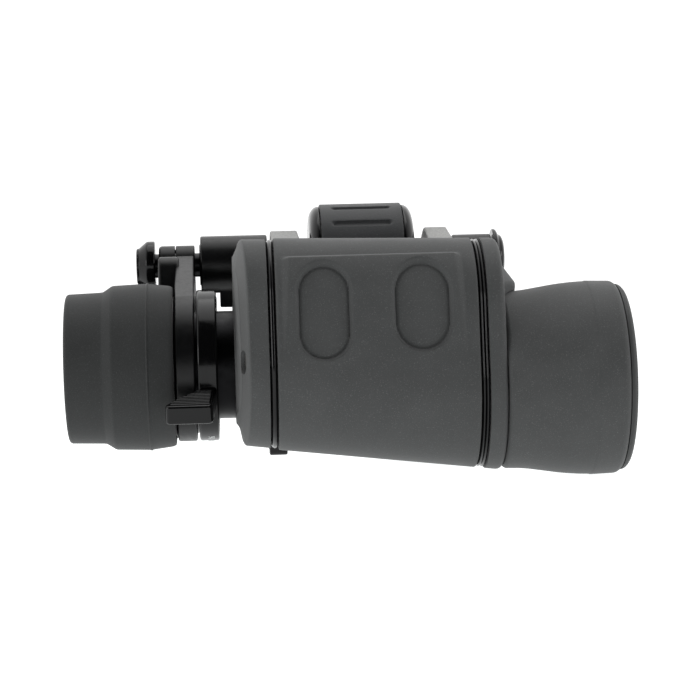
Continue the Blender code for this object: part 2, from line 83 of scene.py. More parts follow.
class Slot(Enum):
    """The record's material slots."""

    ARMOUR = "armour_rubber"
    EYECUP = "eyecup_rubber"
    GRIP = "grip_rubber"
    GLOSS = "gloss_black"
    SATIN = "satin_black"
    HINGE = "hinge_paint"
    CHASSIS = "cast_chassis"
    ANODISED = "anodised_black"
    SHAFT = "shaft_steel"
    SCREW = "screw_steel"
    LENS = "coated_glass"
    PRISM = "prism_glass"


# --- node materials -----------------------------------------------------------------------------
def linear(hex_colour: str) -> tuple[float, float, float, float]:
    """Turns an sRGB hex colour, such as "3e3f3f", to linear red, green, blue and an alpha of 1."""
    channels = [int(hex_colour[i : i + 2], 16) / 255 for i in (0, 2, 4)]
    return (*(c / 12.92 if c <= 0.04045 else ((c + 0.055) / 1.055) ** 2.4 for c in channels), 1.0)


def set_inputs(tree: bpy.types.NodeTree, node: bpy.types.Node, inputs: dict[Any, Any]) -> None:
    """Sets a node's inputs.

    Args:
        tree: The node's tree.
        node: The node.
        inputs: Input names or numbers, each with a value or with the output socket to link.
    """
    for name, value in inputs.items():
        if isinstance(value, bpy.types.NodeSocket):
            tree.links.new(value, node.inputs[name])
        else:
            node.inputs[name].default_value = value


def add_node(tree: bpy.types.NodeTree, kind: str, inputs: dict[Any, Any], **settings: Any) -> bpy.types.Node:
    """Adds a node to a tree.

    Args:
        tree: The tree that gets the node.
        kind: The node's type name without its ShaderNode prefix.
        inputs: Its inputs, as set_inputs takes them.
        settings: The node's own settings.

    Returns:
        The new node.
    """
    made = tree.nodes.new("ShaderNode" + kind)
    for name, value in settings.items():
        setattr(made, name, value)
    set_inputs(tree, made, inputs)
    return made


def ramp(tree: bpy.types.NodeTree, value: Any, low: float, high: float, to_low: float, to_high: float) -> Any:
    """Maps a socket's value from low..high to to_low..to_high, held at both ends, and gives its socket."""
    inputs = {"Value": value, "From Min": low, "From Max": high, "To Min": to_low, "To Max": to_high}
    return add_node(tree, "MapRange", inputs).outputs["Result"]


class Recipe:
    """A material in the making: its node tree, its shader and Object coordinates in millimetres."""

    def __init__(self, name: str) -> None:
        """Makes a material with a Principled shader.

        Args:
            name: The material's name.
        """
        self.material = bpy.data.materials.new(name)
        self.material.use_nodes = True
        self.tree = self.material.node_tree
        self.shader = self.tree.nodes["Principled BSDF"]
        place = self.node("TexCoord", {}).outputs["Object"]
        self.place = self.node("Mapping", {"Vector": place, "Scale": (1 / MM,) * 3}).outputs["Vector"]

    def node(self, kind: str, inputs: dict[Any, Any], **settings: Any) -> bpy.types.Node:
        """Adds a node to the material's tree, as add_node does."""
        return add_node(self.tree, kind, inputs, **settings)

    def noise(self, size_mm: float, detail: float, roughness: float = 0.5) -> Any:
        """Adds a noise texture with features of a size and finer octaves, and gives its value's socket."""
        inputs = {"Vector": self.place, "Scale": 1 / size_mm, "Detail": detail, "Roughness": roughness}
        return self.node("TexNoise", inputs).outputs["Fac"]

    def cells(self, size_mm: float, **settings: Any) -> Any:
        """Adds a cell texture and gives the socket of its distance."""
        inputs = {"Vector": self.place, "Scale": 1 / size_mm}
        return self.node("TexVoronoi", inputs, **settings).outputs["Distance"]

    def ramp(self, value: Any, low: float, high: float, to_low: float, to_high: float) -> Any:
        """Maps a value from one range to another, as ramp does."""
        return ramp(self.tree, value, low, high, to_low, to_high)

    def tint(self, share: Any, first: str, second: str) -> Any:
        """Mixes two sRGB hex colours by a socket with the second one's share, and gives the socket."""
        inputs = {0: share, 6: linear(first), 7: linear(second)}
        return self.node("Mix", inputs, data_type="RGBA").outputs[2]

    def bump(self, height: Any, depth_mm: float, strength: float, invert: bool = False) -> bpy.types.Node:
        """Adds a relief of a height's socket, a depth and the strength with which it shows."""
        inputs = {"Height": height, "Distance": depth_mm * MM, "Strength": strength}
        return self.node("Bump", inputs, invert=invert)

    def finished(self, inputs: dict[str, Any]) -> bpy.types.Material:
        """Sets the shader's inputs and gives the material."""
        set_inputs(self.tree, self.shader, inputs)
        return self.material


@dataclass(frozen=True)
class MouldedRubber:
    """Thermoplastic rubber moulded in an etched tool: no gloss, a fine even grain with small lighter specks
    that are partly dust and partly painted glints of light, slow tone changes from handling, and a soft
    bright bloom where it turns away."""

    name: str
    colour: str
    # lighter colour for handling wear, also painted on the grain's specks as glints
    worn_and_glint: str
    grain_mm: float = 0.28  # real grain is about 0.1 mm, which is too fine to show
    roughness: float = 0.62
    bloom: float = 0.1
    grain_depth_mm: float = 0.03
    specular: float = 0.2

    def make(self) -> bpy.types.Material:
        """Builds the material."""
        made = Recipe(self.name)
        grain, patches = made.noise(self.grain_mm, 3.0), made.noise(9.0, 4.0)
        wear = made.ramp(patches, 0.35, 0.7, 0.0, 0.16)
        # lighter specks on the grain: partly dust, partly painted glints of light
        dust_and_glint_specks = made.ramp(grain, 0.58, 0.72, 0.0, 0.9)
        share = made.node("Math", {0: wear, 1: dust_and_glint_specks}, operation="ADD").outputs[0]
        pores = made.cells(2.2 * self.grain_mm)
        height = made.node("Math", {0: grain, 1: pores}, operation="MULTIPLY").outputs[0]
        return made.finished(
            {
                "Base Color": made.tint(share, self.colour, self.worn_and_glint),
                "Roughness": made.ramp(patches, 0.3, 0.7, self.roughness - 0.06, self.roughness + 0.06),
                "Normal": made.bump(height, self.grain_depth_mm, 0.9).outputs["Normal"],
                "IOR": 1.5,
                "Specular IOR Level": self.specular,
                "Sheen Weight": self.bloom,
                "Sheen Roughness": 0.45,
            }
        )


@dataclass(frozen=True)
class MouldedPlastic:
    """Black ABS or nylon, injection moulded. A polished tool gives gloss with faint flow waves; an etched
    one gives satin with a fine orange peel. Dust and light scratches vary the gloss."""

    name: str
    colour: str
    roughness: float
    specular: float = 0.5
    peel_depth_mm: float = 0.004
    peel_mm: float = 0.5
    wave_mm: float = 5.0
    wave_depth_mm: float = 0.02

    def make(self) -> bpy.types.Material:
        """Builds the material."""
        made = Recipe(self.name)
        dust = made.noise(1.6, 6.0, 0.7)
        waves = made.bump(made.noise(self.wave_mm, 2.0), self.wave_depth_mm, 0.5)
        peel = made.bump(made.noise(self.peel_mm, 3.0), self.peel_depth_mm, 0.8)
        set_inputs(made.tree, peel, {"Normal": waves.outputs["Normal"]})
        return made.finished(
            {
                "Base Color": linear(self.colour),
                "Roughness": made.ramp(dust, 0.4, 0.75, self.roughness, self.roughness + 0.12),
                "Normal": peel.outputs["Normal"],
                "IOR": 1.5,
                "Specular IOR Level": self.specular,
            }
        )


@dataclass(frozen=True)
class CrinklePaint:
    """Texture enamel baked on die-cast metal: small raised grains, each with a painted sheen that tints its
    middle towards a lighter highlight colour.
    """

    name: str
    colour: str
    # lighter colour painted on each grain's middle as a highlight
    highlight: str
    roughness: float = 0.42
    grain_mm: float = 0.45
    grain_depth_mm: float = 0.06

    def make(self) -> bpy.types.Material:
        """Builds the material."""
        made = Recipe(self.name)
        cells = made.cells(self.grain_mm, feature="SMOOTH_F1")
        # painted highlight: each grain's middle is tinted towards the highlight colour
        tone = made.ramp(cells, 0.15, 0.6, 0.5, 0.0)
        return made.finished(
            {
                "Base Color": made.tint(tone, self.colour, self.highlight),
                "Roughness": made.ramp(cells, 0.1, 0.6, self.roughness, self.roughness + 0.15),
                "Normal": made.bump(cells, self.grain_depth_mm, 0.7, invert=True).outputs["Normal"],
            }
        )


@dataclass(frozen=True)
class TurnedMetal:
    """Metal turned on a lathe, bare or blackened: fine feed lines round the X axis."""

    name: str
    colour: str
    roughness: float
    feed_mm: float = 0.3  # pitch of the tool marks
    mark_depth_mm: float = 0.006
    bands_per_unit: float = 0.314  # scale that gives the wave texture one band in each unit

    def make(self) -> bpy.types.Material:
        """Builds the material."""
        made = Recipe(self.name)
        scale = self.bands_per_unit / self.feed_mm
        wave = {"Vector": made.place, "Scale": scale, "Distortion": 0.4, "Detail": 2.0}
        marks = made.node("TexWave", wave, bands_direction="X").outputs["Fac"]
        stain = made.noise(3.0, 4.0)
        return made.finished(
            {
                "Metallic": 1.0,
                "Base Color": linear(self.colour),
                "Roughness": made.ramp(stain, 0.3, 0.7, self.roughness - 0.05, self.roughness + 0.1),
                "Normal": made.bump(marks, self.mark_depth_mm, 0.6).outputs["Normal"],
            }
        )


@dataclass(frozen=True)
class OpticalGlass:
    """Polished crown glass. The coating's faint green and violet reflection is painted into the glass's
    colour, which shifts with the viewing angle; a prism's ground faces are matt at their edges."""

    name: str
    tint: str
    # the coating's reflected colour: painted into the base colour face-on, and used as the coat's tint
    coating: str
    coating_share: float
    roughness: float = 0.02

    def make(self) -> bpy.types.Material:
        """Builds the material."""
        made = Recipe(self.name)
        # painted reflection: the colour goes from the coating's reflected colour face-on to the glass's tint
        # at a slant
        facing = made.node("LayerWeight", {"Blend": 0.35}).outputs["Facing"]
        haze = made.noise(6.0, 5.0)
        return made.finished(
            {
                "Base Color": made.tint(facing, self.coating, self.tint),
                "Roughness": made.ramp(haze, 0.45, 0.8, self.roughness, self.roughness + 0.06),
                "IOR": 1.52,
                "Transmission Weight": 0.85,
                "Coat Weight": self.coating_share,
                "Coat Roughness": 0.03,
                "Coat Tint": linear(self.coating),
            }
        )


@dataclass(frozen=True)
class PrintedInk:
    """White screen ink on plastic: a flat film, thin in places."""

    name: str
    colour: str
    thin: str

    def make(self) -> bpy.types.Material:
        """Builds the material."""
        made = Recipe(self.name)
        share = made.ramp(made.noise(0.35, 3.0), 0.45, 0.7, 0.0, 1.0)
        return made.finished({"Base Color": made.tint(share, self.colour, self.thin), "Roughness": 0.5})


class Coat:
    """A finish on the object, and the record's slot that it belongs to."""

    def __init__(self, slot: Slot, look: Any) -> None:
        """Makes the finish's material."""
        self.slot = slot
        self.material: bpy.types.Material = look.make()


class Finishes:
    """All finishes of the binoculars, made once."""

    def __init__(self) -> None:
        """Makes each finish."""
        self.armour = Coat(Slot.ARMOUR, MouldedRubber("armour_rubber_moulded", "434444", "5c5d5d"))
        soft = MouldedRubber("eyecup_rubber_moulded", "303131", "464747", 0.22, 0.68)
        self.eyecup = Coat(Slot.EYECUP, soft)
        self.grip = Coat(Slot.GRIP, MouldedRubber("grip_rubber_moulded", "3a3b3c", "4a4b4c", 0.3, 0.5, 0.05))
        self.gloss = Coat(Slot.GLOSS, MouldedPlastic("abs_plastic_polished", "080809", 0.12, 0.28))
        self.satin = Coat(Slot.SATIN, MouldedPlastic("nylon_plastic_satin", "0b0b0c", 0.3, 0.28, 0.002))
        self.etched = Coat(Slot.GLOSS, MouldedPlastic("abs_plastic_etched", "303131", 0.55, 0.4, 0.012))
        self.enamel = Coat(Slot.HINGE, CrinklePaint("texture_enamel_baked", "858583", "a2a2a0"))
        self.chassis = Coat(Slot.CHASSIS, CrinklePaint("die_cast_flat_black", "1c1c1c", "2c2c2c", 0.6))
        self.anodised = Coat(Slot.ANODISED, TurnedMetal("aluminium_black_anodised", "1a1a1b", 0.32))
        self.steel = Coat(Slot.SHAFT, TurnedMetal("steel_turned_blackened", "2b2b2c", 0.3))
        self.zinc = Coat(Slot.SCREW, TurnedMetal("steel_screw_black_zinc", "4c4c4a", 0.28, 0.5))
        self.lens = Coat(Slot.LENS, OpticalGlass("crown_glass_coated", "9fb3ac", "5a7f8c", 0.6))
        self.prism = Coat(Slot.PRISM, OpticalGlass("prism_glass_ground", "dfe8e4", "dfe8e4", 0.0, 0.08))
        self.ink = Coat(Slot.GLOSS, PrintedInk("white_screen_ink", "e6e8e8", "b9bcbc"))


# --- mesh tools ---------------------------------------------------------------------------------
def clamped(value: float) -> float:
    """The value, held between 0 and 1."""
    return min(max(value, 0.0), 1.0)


def smooth_step(share: float) -> float:
    """An even rise from 0 to 1, held outside that range."""
    held = clamped(share)
    return held * held * (3 - 2 * held)


def new_object(name: str, data: bpy.types.ID) -> bpy.types.Object:
    """Adds an object to the scene.

    Args:
        name: Its name.
        data: Its mesh, curve, light or camera.

    Returns:
        The object.
    """
    made = bpy.data.objects.new(name, data)
    bpy.context.scene.collection.objects.link(made)
    return made


def evaluated(made: bpy.types.Object) -> bpy.types.Mesh:
    """Makes a mesh of an object as it stands, with its modifiers.

    Args:
        made: The object.

    Returns:
        The new mesh.
    """
    bpy.context.view_layer.update()
    graph = bpy.context.evaluated_depsgraph_get()
    return bpy.data.meshes.new_from_object(made.evaluated_get(graph), depsgraph=graph)


def to_metres(bm: bmesh.types.BMesh) -> None:
    """Turns a closed bmesh's faces outwards and its millimetres to metres."""
    bmesh.ops.recalc_face_normals(bm, faces=bm.faces)
    bmesh.ops.scale(bm, verts=bm.verts, vec=(MM, MM, MM))


def as_object(bm: bmesh.types.BMesh, name: str, finish: bpy.types.Material) -> bpy.types.Object:
    """Makes an object of a closed bmesh.

    Args:
        bm: The shape in millimetres. It is freed.
        name: The object's name.
        finish: Its material.

    Returns:
        The object.
    """
    to_metres(bm)
    mesh = bpy.data.meshes.new(name)
    bm.to_mesh(mesh)
    bm.free()
    mesh.materials.append(finish)
    return new_object(name, mesh)


def box(size: tuple[float, float, float], middle: tuple[float, float, float]) -> bmesh.types.BMesh:
    """Makes a box.

    Args:
        size: Its length along each axis.
        middle: Where its middle is.

    Returns:
        A closed bmesh.
    """
    bm = bmesh.new()
    bmesh.ops.create_cube(bm, size=1.0)
    bmesh.ops.scale(bm, verts=bm.verts, vec=size)
    bmesh.ops.translate(bm, verts=bm.verts, vec=middle)
    return bm


def bevel(
    bm: bmesh.types.BMesh, geom: Iterable[Any], size: float, segments: int, kind: str = "EDGES"
) -> None:
    """Rounds a bmesh's EDGES or VERTICES to a size, in segments."""
    bmesh.ops.bevel(
        bm,
        geom=list(geom),
        offset=size,
        offset_type="OFFSET",
        segments=segments,
        profile=0.5,
        affect=kind,
        material=-1,
        clamp_overlap=kind == "EDGES",
    )


def thicken(bm: bmesh.types.BMesh, move: tuple[float, float, float]) -> list[bmesh.types.BMEdge]:
    """Extrudes a bmesh of one flat face to a solid.

    Args:
        bm: The bmesh.
        move: From the face to its copy.

    Returns:
        The edges round both ends.
    """
    rim = list(bm.edges)
    grown = bmesh.ops.extrude_face_region(bm, geom=bm.faces[:], use_keep_orig=True)["geom"]
    moved = {item for item in grown if isinstance(item, bmesh.types.BMVert)}
    bmesh.ops.translate(bm, verts=list(moved), vec=move)
    return rim + [e for e in grown if isinstance(e, bmesh.types.BMEdge) and moved.issuperset(e.verts)]


def wire(points: Outline, closed: bool, segments: int = 5) -> bmesh.types.BMesh:
    """Makes an outline in the XZ plane whose corners are rounded.

    Args:
        points: x, z and the length that the round takes off each side of the corner.
        closed: Whether the last point joins the first.
        segments: Segments in each round.

    Returns:
        A bmesh of vertices and edges.
    """
    bm = bmesh.new()
    verts = [bm.verts.new((x, 0.0, z)) for x, z, _ in points]
    pairs = list(zip(verts, verts[1:]))
    if closed:
        pairs.append((verts[-1], verts[0]))
    for pair in pairs:
        bm.edges.new(pair)
    rounds = {size for _, _, size in points if size > 0}
    corners = {size: [v for v, point in zip(verts, points) if point[2] == size] for size in sorted(rounds)}
    for size, chosen in corners.items():
        bevel(bm, chosen, size, segments, "VERTICES")
    return bm


def turned(points: Outline, w: float, z: float, half: Half, steps: int = 96) -> bmesh.types.BMesh:
    """Turns an outline about an axis along X.

    Args:
        points: x, radius and corner round of each point of the outline. An outline that starts and ends
            on the axis is left open there.
        w: The axis's distance from the hinge plane.
        z: The axis's height.
        half: The half that it is in.
        steps: Steps in the full turn.

    Returns:
        A closed bmesh.
    """
    closed = points[0][1] > 0 or points[-1][1] > 0
    bm = wire(points, closed)
    bmesh.ops.spin(
        bm,
        geom=bm.verts[:] + bm.edges[:],
        cent=(0.0, 0.0, 0.0),
        axis=(1.0, 0.0, 0.0),
        angle=math.tau,
        steps=steps,
        use_merge=True,
    )
    bmesh.ops.remove_doubles(bm, verts=bm.verts, dist=1e-4)
    bmesh.ops.translate(bm, verts=bm.verts, vec=(0.0, half.value * w, z))
    return bm


def rod(span: tuple[float, float], r: float, w: float, z: float, half: Half) -> bmesh.types.BMesh:
    """Makes a round bar with a span along X, a radius and an axis at w and z: a cutter for a hole."""
    return turned(((span[0], 0.0, 0), (span[0], r, 0), (span[1], r, 0), (span[1], 0.0, 0)), w, z, half)


def belt(circles: Sequence[Circle], steps: int = 96) -> list[tuple[float, float]]:
    """Walks a belt around circles.

    Args:
        circles: w, z and radius of each circle.
        steps: Directions in the full turn.

    Returns:
        The belt's (w, z) points, with evenly turned normals.
    """
    points = []
    for step in range(steps):
        normal = Vector((math.cos(math.tau * step / steps), math.sin(math.tau * step / steps)))
        w, z, r = max(circles, key=lambda circle: Vector(circle[:2]).dot(normal) + circle[2])
        points.append((w + r * normal.x, z + r * normal.y))
    return points


def plate(
    outline: Sequence[tuple[float, float]], x_range: tuple[float, float], half: Half, edge: float
) -> bmesh.types.BMesh:
    """Extrudes a (w, z) outline along X and rounds its rims.

    Args:
        outline: The outline's points.
        x_range: Where it starts and ends.
        half: The half that it is in.
        edge: Width of the rounded rims.

    Returns:
        A closed bmesh.
    """
    bm = bmesh.new()
    bm.faces.new([bm.verts.new((x_range[0], half.value * w, z)) for w, z in outline])
    bevel(bm, thicken(bm, (x_range[1] - x_range[0], 0.0, 0.0)), edge, 3)
    return bm


def join(target: bmesh.types.BMesh, *others: bmesh.types.BMesh) -> bmesh.types.BMesh:
    """Adds other bmeshes to one, and frees them.

    Args:
        target: The bmesh that grows.
        others: The bmeshes to add.

    Returns:
        The target.
    """
    for other in others:
        mesh = bpy.data.meshes.new("join")
        other.to_mesh(mesh)
        other.free()
        target.from_mesh(mesh)
        bpy.data.meshes.remove(mesh)
    return target


@dataclass
class Piece:
    """A finished mesh piece of the binoculars, and the node that it stands for."""

    node: str
    body: str
    coat: Coat
    sharp: float = 32.0
    overlaps: bool = False  # its shapes run into each other, and cutting joins them
    stands_in: bool = True  # it replaces the node
    slot: Slot | None = None  # where it isn't the coat's own

    def finished(self, bm: bmesh.types.BMesh) -> bpy.types.Object:
        """Turns a bmesh in millimetres to the piece's object.

        Args:
            bm: The closed shape. It is freed.

        Returns:
            The object, riding on its body.
        """
        bmesh.ops.remove_doubles(bm, verts=bm.verts, dist=1e-4)
        made = as_object(bm, self.node + "_skin" * self.stands_in, self.coat.material)
        self.shade(made)
        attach(made, self.body)
        if self.stands_in:
            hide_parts(self.node)
        LOG.info("%s: %d faces on %s", made.name, len(made.data.polygons), self.body)
        return made

    def shade(self, made: bpy.types.Object) -> None:
        """Smooths the piece's faces between its sharp edges.

        Args:
            made: The piece's object.
        """
        made.data.shade_smooth()
        made.data.set_sharp_from_angle(angle=math.radians(self.sharp))
        made.modifiers.clear()
        made.modifiers.new("flat_faces_stay_flat", "WEIGHTED_NORMAL").keep_sharp = True

    def cut(self, made: bpy.types.Object, cutters: Iterable[bmesh.types.BMesh]) -> None:
        """Cuts shapes out of the piece and keeps the result as its mesh.

        Args:
            made: The piece's object.
            cutters: Closed shapes in millimetres. They are freed.
        """
        made.modifiers.clear()
        for bm in cutters:
            helper = as_object(bm, "cutter", self.coat.material)
            hole = made.modifiers.new("hole", "BOOLEAN")
            hole.operation = "DIFFERENCE"
            hole.use_self = self.overlaps
            hole.object = helper
            result = evaluated(made)
            made.modifiers.remove(hole)
            made.data = result
            bpy.data.objects.remove(helper)
        made.data.name = made.name
        self.shade(made)

    def add(self, made: bpy.types.Object, bm: bmesh.types.BMesh) -> None:
        """Adds a shape to the piece's mesh.

        Args:
            made: The piece's object.
            bm: The closed shape in millimetres. It is freed.
        """
        to_metres(bm)
        bm.from_mesh(made.data)
        bm.to_mesh(made.data)
        bm.free()
        self.shade(made)


# --- places from the frame ----------------------------------------------------------------------
@dataclass(frozen=True)
class Axes:
    """Where the axes along X are, as (w, z), read from the frame."""

    hinge: tuple[float, float]
    eye: tuple[float, float]
    objective: tuple[float, float]

    @classmethod
    def from_frame(cls) -> "Axes":
        """Reads the joints' places and the right barrel's box.

        Returns:
            The axes.
        """
        places = {joint["name"]: Vector(joint["pos_m"]) / MM for joint in frame["joints"] if "pos_m" in joint}
        low, high = (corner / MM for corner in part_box("right_objective_barrel"))
        eye = places["zoom_lever_turn"]
        middle = (low + high) / 2
        return cls((0.0, places["eye_spacing_hinge"].z), (-eye.y, eye.z), (-middle.y, middle.z))

    @property
    def hinge_z(self) -> float:
        """The hinge's height."""
        return self.hinge[1]


def x_range(node: str) -> tuple[float, float]:
    """Where a node starts and ends along X, in millimetres."""
    low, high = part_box(node)
    return low.x / MM, high.x / MM


@dataclass
class Assembly:
    """What every sub-assembly knows: its half, the axes and the finishes."""

    half: Half
    axes: Axes
    finishes: Finishes

    def own(self, name: str) -> str:
        """The name of this half's node or body."""
        return f"{self.half.label}_{name}"

    def lathe(
        self, node: str, body: str, coat: Coat, outline: Outline, place: tuple[float, float], steps: int
    ) -> Piece:
        """Builds a turned piece that replaces its node.

        Args:
            node: The node.
            body: The body that it rides on.
            coat: Its finish.
            outline: x, radius and corner round of each point.
            place: The axis, as (w, z).
            steps: Steps in the full turn.

        Returns:
            The piece.
        """
        piece = Piece(node, body, coat)
        piece.finished(turned(outline, *place, self.half, steps))
        return piece


# --- prism housings -----------------------------------------------------------------------------
@dataclass(frozen=True)
class RingPoint:
    """One point of the housing's outline: where it is at the rear and front sections, its normal, and
    how it drifts on past either section. The blend is its share of the way between two corners."""

    rear: Vector
    front: Vector
    normal: Vector
    rear_drift: Vector
    front_drift: Vector
    corner: int
    next_corner: int = 0
    blend: float = 0.0

    def at(self, share: float, inset: float | Sequence[float]) -> Vector:
        """The point's (w, z) at a share of the way forwards.

        Args:
            share: 0 at the rear section, 1 at the front one.
            inset: How far it is drawn in, once or for each corner.

        Returns:
            The point.
        """
        depth = inset
        if not isinstance(inset, (int, float)):
            depth = inset[self.corner] * (1 - self.blend) + inset[self.next_corner] * self.blend
        place = self.rear.lerp(self.front, clamped(share))
        place += self.rear_drift * min(share, 0.0) + self.front_drift * max(share - 1.0, 0.0)
        return place - self.normal * depth

    def between(self, other: "RingPoint", share: float) -> "RingPoint":
        """The point at a share of the way to another one, on the straight between two corners."""
        return RingPoint(
            self.rear.lerp(other.rear, share),
            self.front.lerp(other.front, share),
            self.normal.lerp(other.normal, share).normalized(),
            self.rear_drift.lerp(other.rear_drift, share),
            self.front_drift.lerp(other.front_drift, share),
            self.corner,
            other.corner,
            share,
        )


@dataclass(frozen=True)
class HousingForm:
    """The housing's form: a belt round four corner circles (w, z, radius), which change evenly from the
    rear section to the front one. In order: top inner, top outer, bottom outer, bottom inner."""

    rear_x: float = -19.5
    front_x: float = 35.0
    rear: Corners = ((32.0, 58.1, 8.4), (57.0, 48.5, 18.0), (56.0, 31.1, 21.7), (31.0, 32.6, 20.5))
    front: Corners = ((34.0, 56.7, 8.5), (58.0, 45.1, 20.1), (56.0, 26.4, 23.5), (34.0, 31.1, 19.5))
    wall_w: float = 60.0  # the outer wall starts here

    def points(self, spacing: float, wall_spacing: float) -> list[RingPoint]:
        """Walks the outline.

        Args:
            spacing: Distance between points.
            wall_spacing: Distance between points on the outer wall.

        Returns:
            The outline's points in order.
        """
        directions = 2160
        walked = [self.touch(math.tau * step / directions) for step in range(directions)]
        kept = [walked[0]]
        for point in walked[1:] + walked[:1]:
            last = kept[-1]
            gap = max((point.rear - last.rear).length, (point.front - last.front).length)
            reach = wall_spacing if min(point.rear.x, last.rear.x) > self.wall_w else spacing
            if gap > 1.5 * reach:
                count = round(gap / reach)
                kept += [last.between(point, number / count) for number in range(1, count)]
            if gap > reach and point is not walked[0]:
                kept.append(point)
        return kept

    def touch(self, angle: float) -> RingPoint:
        """Finds where the belts at both sections have a given normal.

        Args:
            angle: The normal's direction, from outwards to upwards.

        Returns:
            The point.
        """
        normal = Vector((math.cos(angle), math.sin(angle)))
        corners = []
        for circles in (self.rear, self.front):
            reach = [Vector(circle[:2]).dot(normal) + circle[2] for circle in circles]
            corners.append(reach.index(max(reach)))
        places = [
            Vector(circles[corner][:2]) + circles[corner][2] * normal
            for circles, corner in zip((self.rear, self.front), corners)
        ]
        drifts = []
        for corner in corners:
            start, end = Vector(self.rear[corner]), Vector(self.front[corner])
            drift = end - start
            drifts.append(Vector(drift[:2]) + drift[2] * normal)
        return RingPoint(*places, normal, *drifts, corners[0])

    def share(self, x: float) -> float:
        """How far x is from the rear section to the front one."""
        return (x - self.rear_x) / (self.front_x - self.rear_x)


@dataclass
class RingLoft:
    """A skin that follows the housing's form. It starts as one ring of edges, and each station extrudes
    the last ring to a new place."""

    form: HousingForm
    half: Half
    spacing: float
    wall_spacing: float
    bm: bmesh.types.BMesh = field(init=False)
    ring: list[bmesh.types.BMVert] = field(init=False)
    edges: list[bmesh.types.BMEdge] = field(init=False)
    first: list[bmesh.types.BMVert] = field(init=False)
    points: list[RingPoint] = field(init=False)

    def __post_init__(self) -> None:
        """Walks the outline."""
        self.bm = bmesh.new()
        self.points = self.form.points(self.spacing, self.wall_spacing)
        self.ring, self.edges, self.first = [], [], []

    def place(self, x: float, inset: float | Sequence[float]) -> list[Vector]:
        """Works out a station's points.

        Args:
            x: The station.
            inset: How far the outline is drawn in, once or for each corner.

        Returns:
            A point for each vertex of the ring.
        """
        share = self.form.share(x)
        flats = [point.at(share, inset) for point in self.points]
        return [Vector((x, self.half.value * flat.x, flat.y)) for flat in flats]

    def add(self, x: float, inset: float | Sequence[float]) -> "RingLoft":
        """Extrudes the last ring to a station.

        Args:
            x: The station.
            inset: How far the outline is drawn in there.

        Returns:
            The loft itself.
        """
        places = self.place(x, inset)
        if not self.ring:
            index = self.bm.verts.layers.int.new("index")
            self.ring = [self.bm.verts.new(point) for point in places]
            for number, vert in enumerate(self.ring):
                vert[index] = number
            pairs = zip(self.ring, self.ring[1:] + self.ring[:1])
            self.edges = [self.bm.edges.new(pair) for pair in pairs]
            self.first = list(self.ring)
            return self
        index = self.bm.verts.layers.int["index"]
        grown = bmesh.ops.extrude_edge_only(self.bm, edges=self.edges)["geom"]
        fresh = [item for item in grown if isinstance(item, bmesh.types.BMVert)]
        members = set(fresh)
        self.ring = sorted(fresh, key=lambda vert: vert[index])
        self.edges = [
            item
            for item in grown
            if isinstance(item, bmesh.types.BMEdge) and item.verts[0] in members and item.verts[1] in members
        ]
        for vert, point in zip(self.ring, places):
            vert.co = point
        return self

    def add_all(self, stations: Iterable[tuple[float, float | Sequence[float]]]) -> None:
        """Adds stations, each with its x and its inset."""
        for x, inset in stations:
            self.add(x, inset)

    def add_evenly(self, x: float, step: float) -> "RingLoft":
        """Adds stations on the outline itself, up to and with x.

        Args:
            x: The last station.
            step: The most that stations may be apart.

        Returns:
            The loft itself.
        """
        start = self.ring[0].co.x
        count = math.ceil((x - start) / step)
        for number in range(1, count + 1):
            self.add(start + (x - start) * number / count, 0.0)
        return self

    def capped(self) -> bmesh.types.BMesh:
        """Closes the last and first rings with faces.

        Returns:
            The closed bmesh.
        """
        self.bm.faces.new(self.ring)
        self.bm.faces.new(self.first)
        return self.bm


@dataclass
class FingerHollow:
    """An upright oval hollow with straight sides, in the outer wall."""

    x: float
    z: float
    half_length: float
    half_width: float
    depth: float = 1.5
    wall: float = 0.8
    groove: float = 0.35  # at the wall's foot
    groove_width: float = 0.7

    def at(self, x: float, z: float) -> float:
        """How deep the hollow is at a place.

        Args:
            x: The place along X.
            z: The place's height.

        Returns:
            The depth, 0 outside the oval.
        """
        straight = self.half_length - self.half_width
        beyond = max(abs(z - self.z) - straight, 0.0)
        inwards = self.half_width - math.hypot(x - self.x, beyond)
        if inwards <= 0.0:
            return 0.0
        foot = max(1.0 - abs(inwards - self.wall) / self.groove_width, 0.0)
        return self.depth * min(inwards / self.wall, 1.0) + self.groove * foot


@dataclass
class SidePanel:
    """The flat raised panel on the outer wall. It stands proudest at its top edge, where the wall starts
    to curve away, and fades out downwards; facets lead up to it at the top and both ends."""

    top_z: float = 60.9
    fade_z: float = 29.9
    rear_x: float = -16.7
    front_x: float = 31.3
    height: float = 1.25
    facet: float = 2.2
    ledge: float = 1.1

    def at(self, x: float, z: float) -> float:
        """How proud the panel stands at a place.

        Args:
            x: The place along X.
            z: The place's height.

        Returns:
            The height above the wall, 0 outside the panel.
        """
        climb = (z - self.fade_z) / (self.top_z - self.ledge - self.fade_z)
        full = self.height * clamped(climb)
        from_end = min(x - self.rear_x, self.front_x - x) / max(self.facet * max(climb, 0.02), 0.05)
        from_top = (self.top_z - z) / self.ledge
        return full * clamped(from_end) * clamped(from_top)


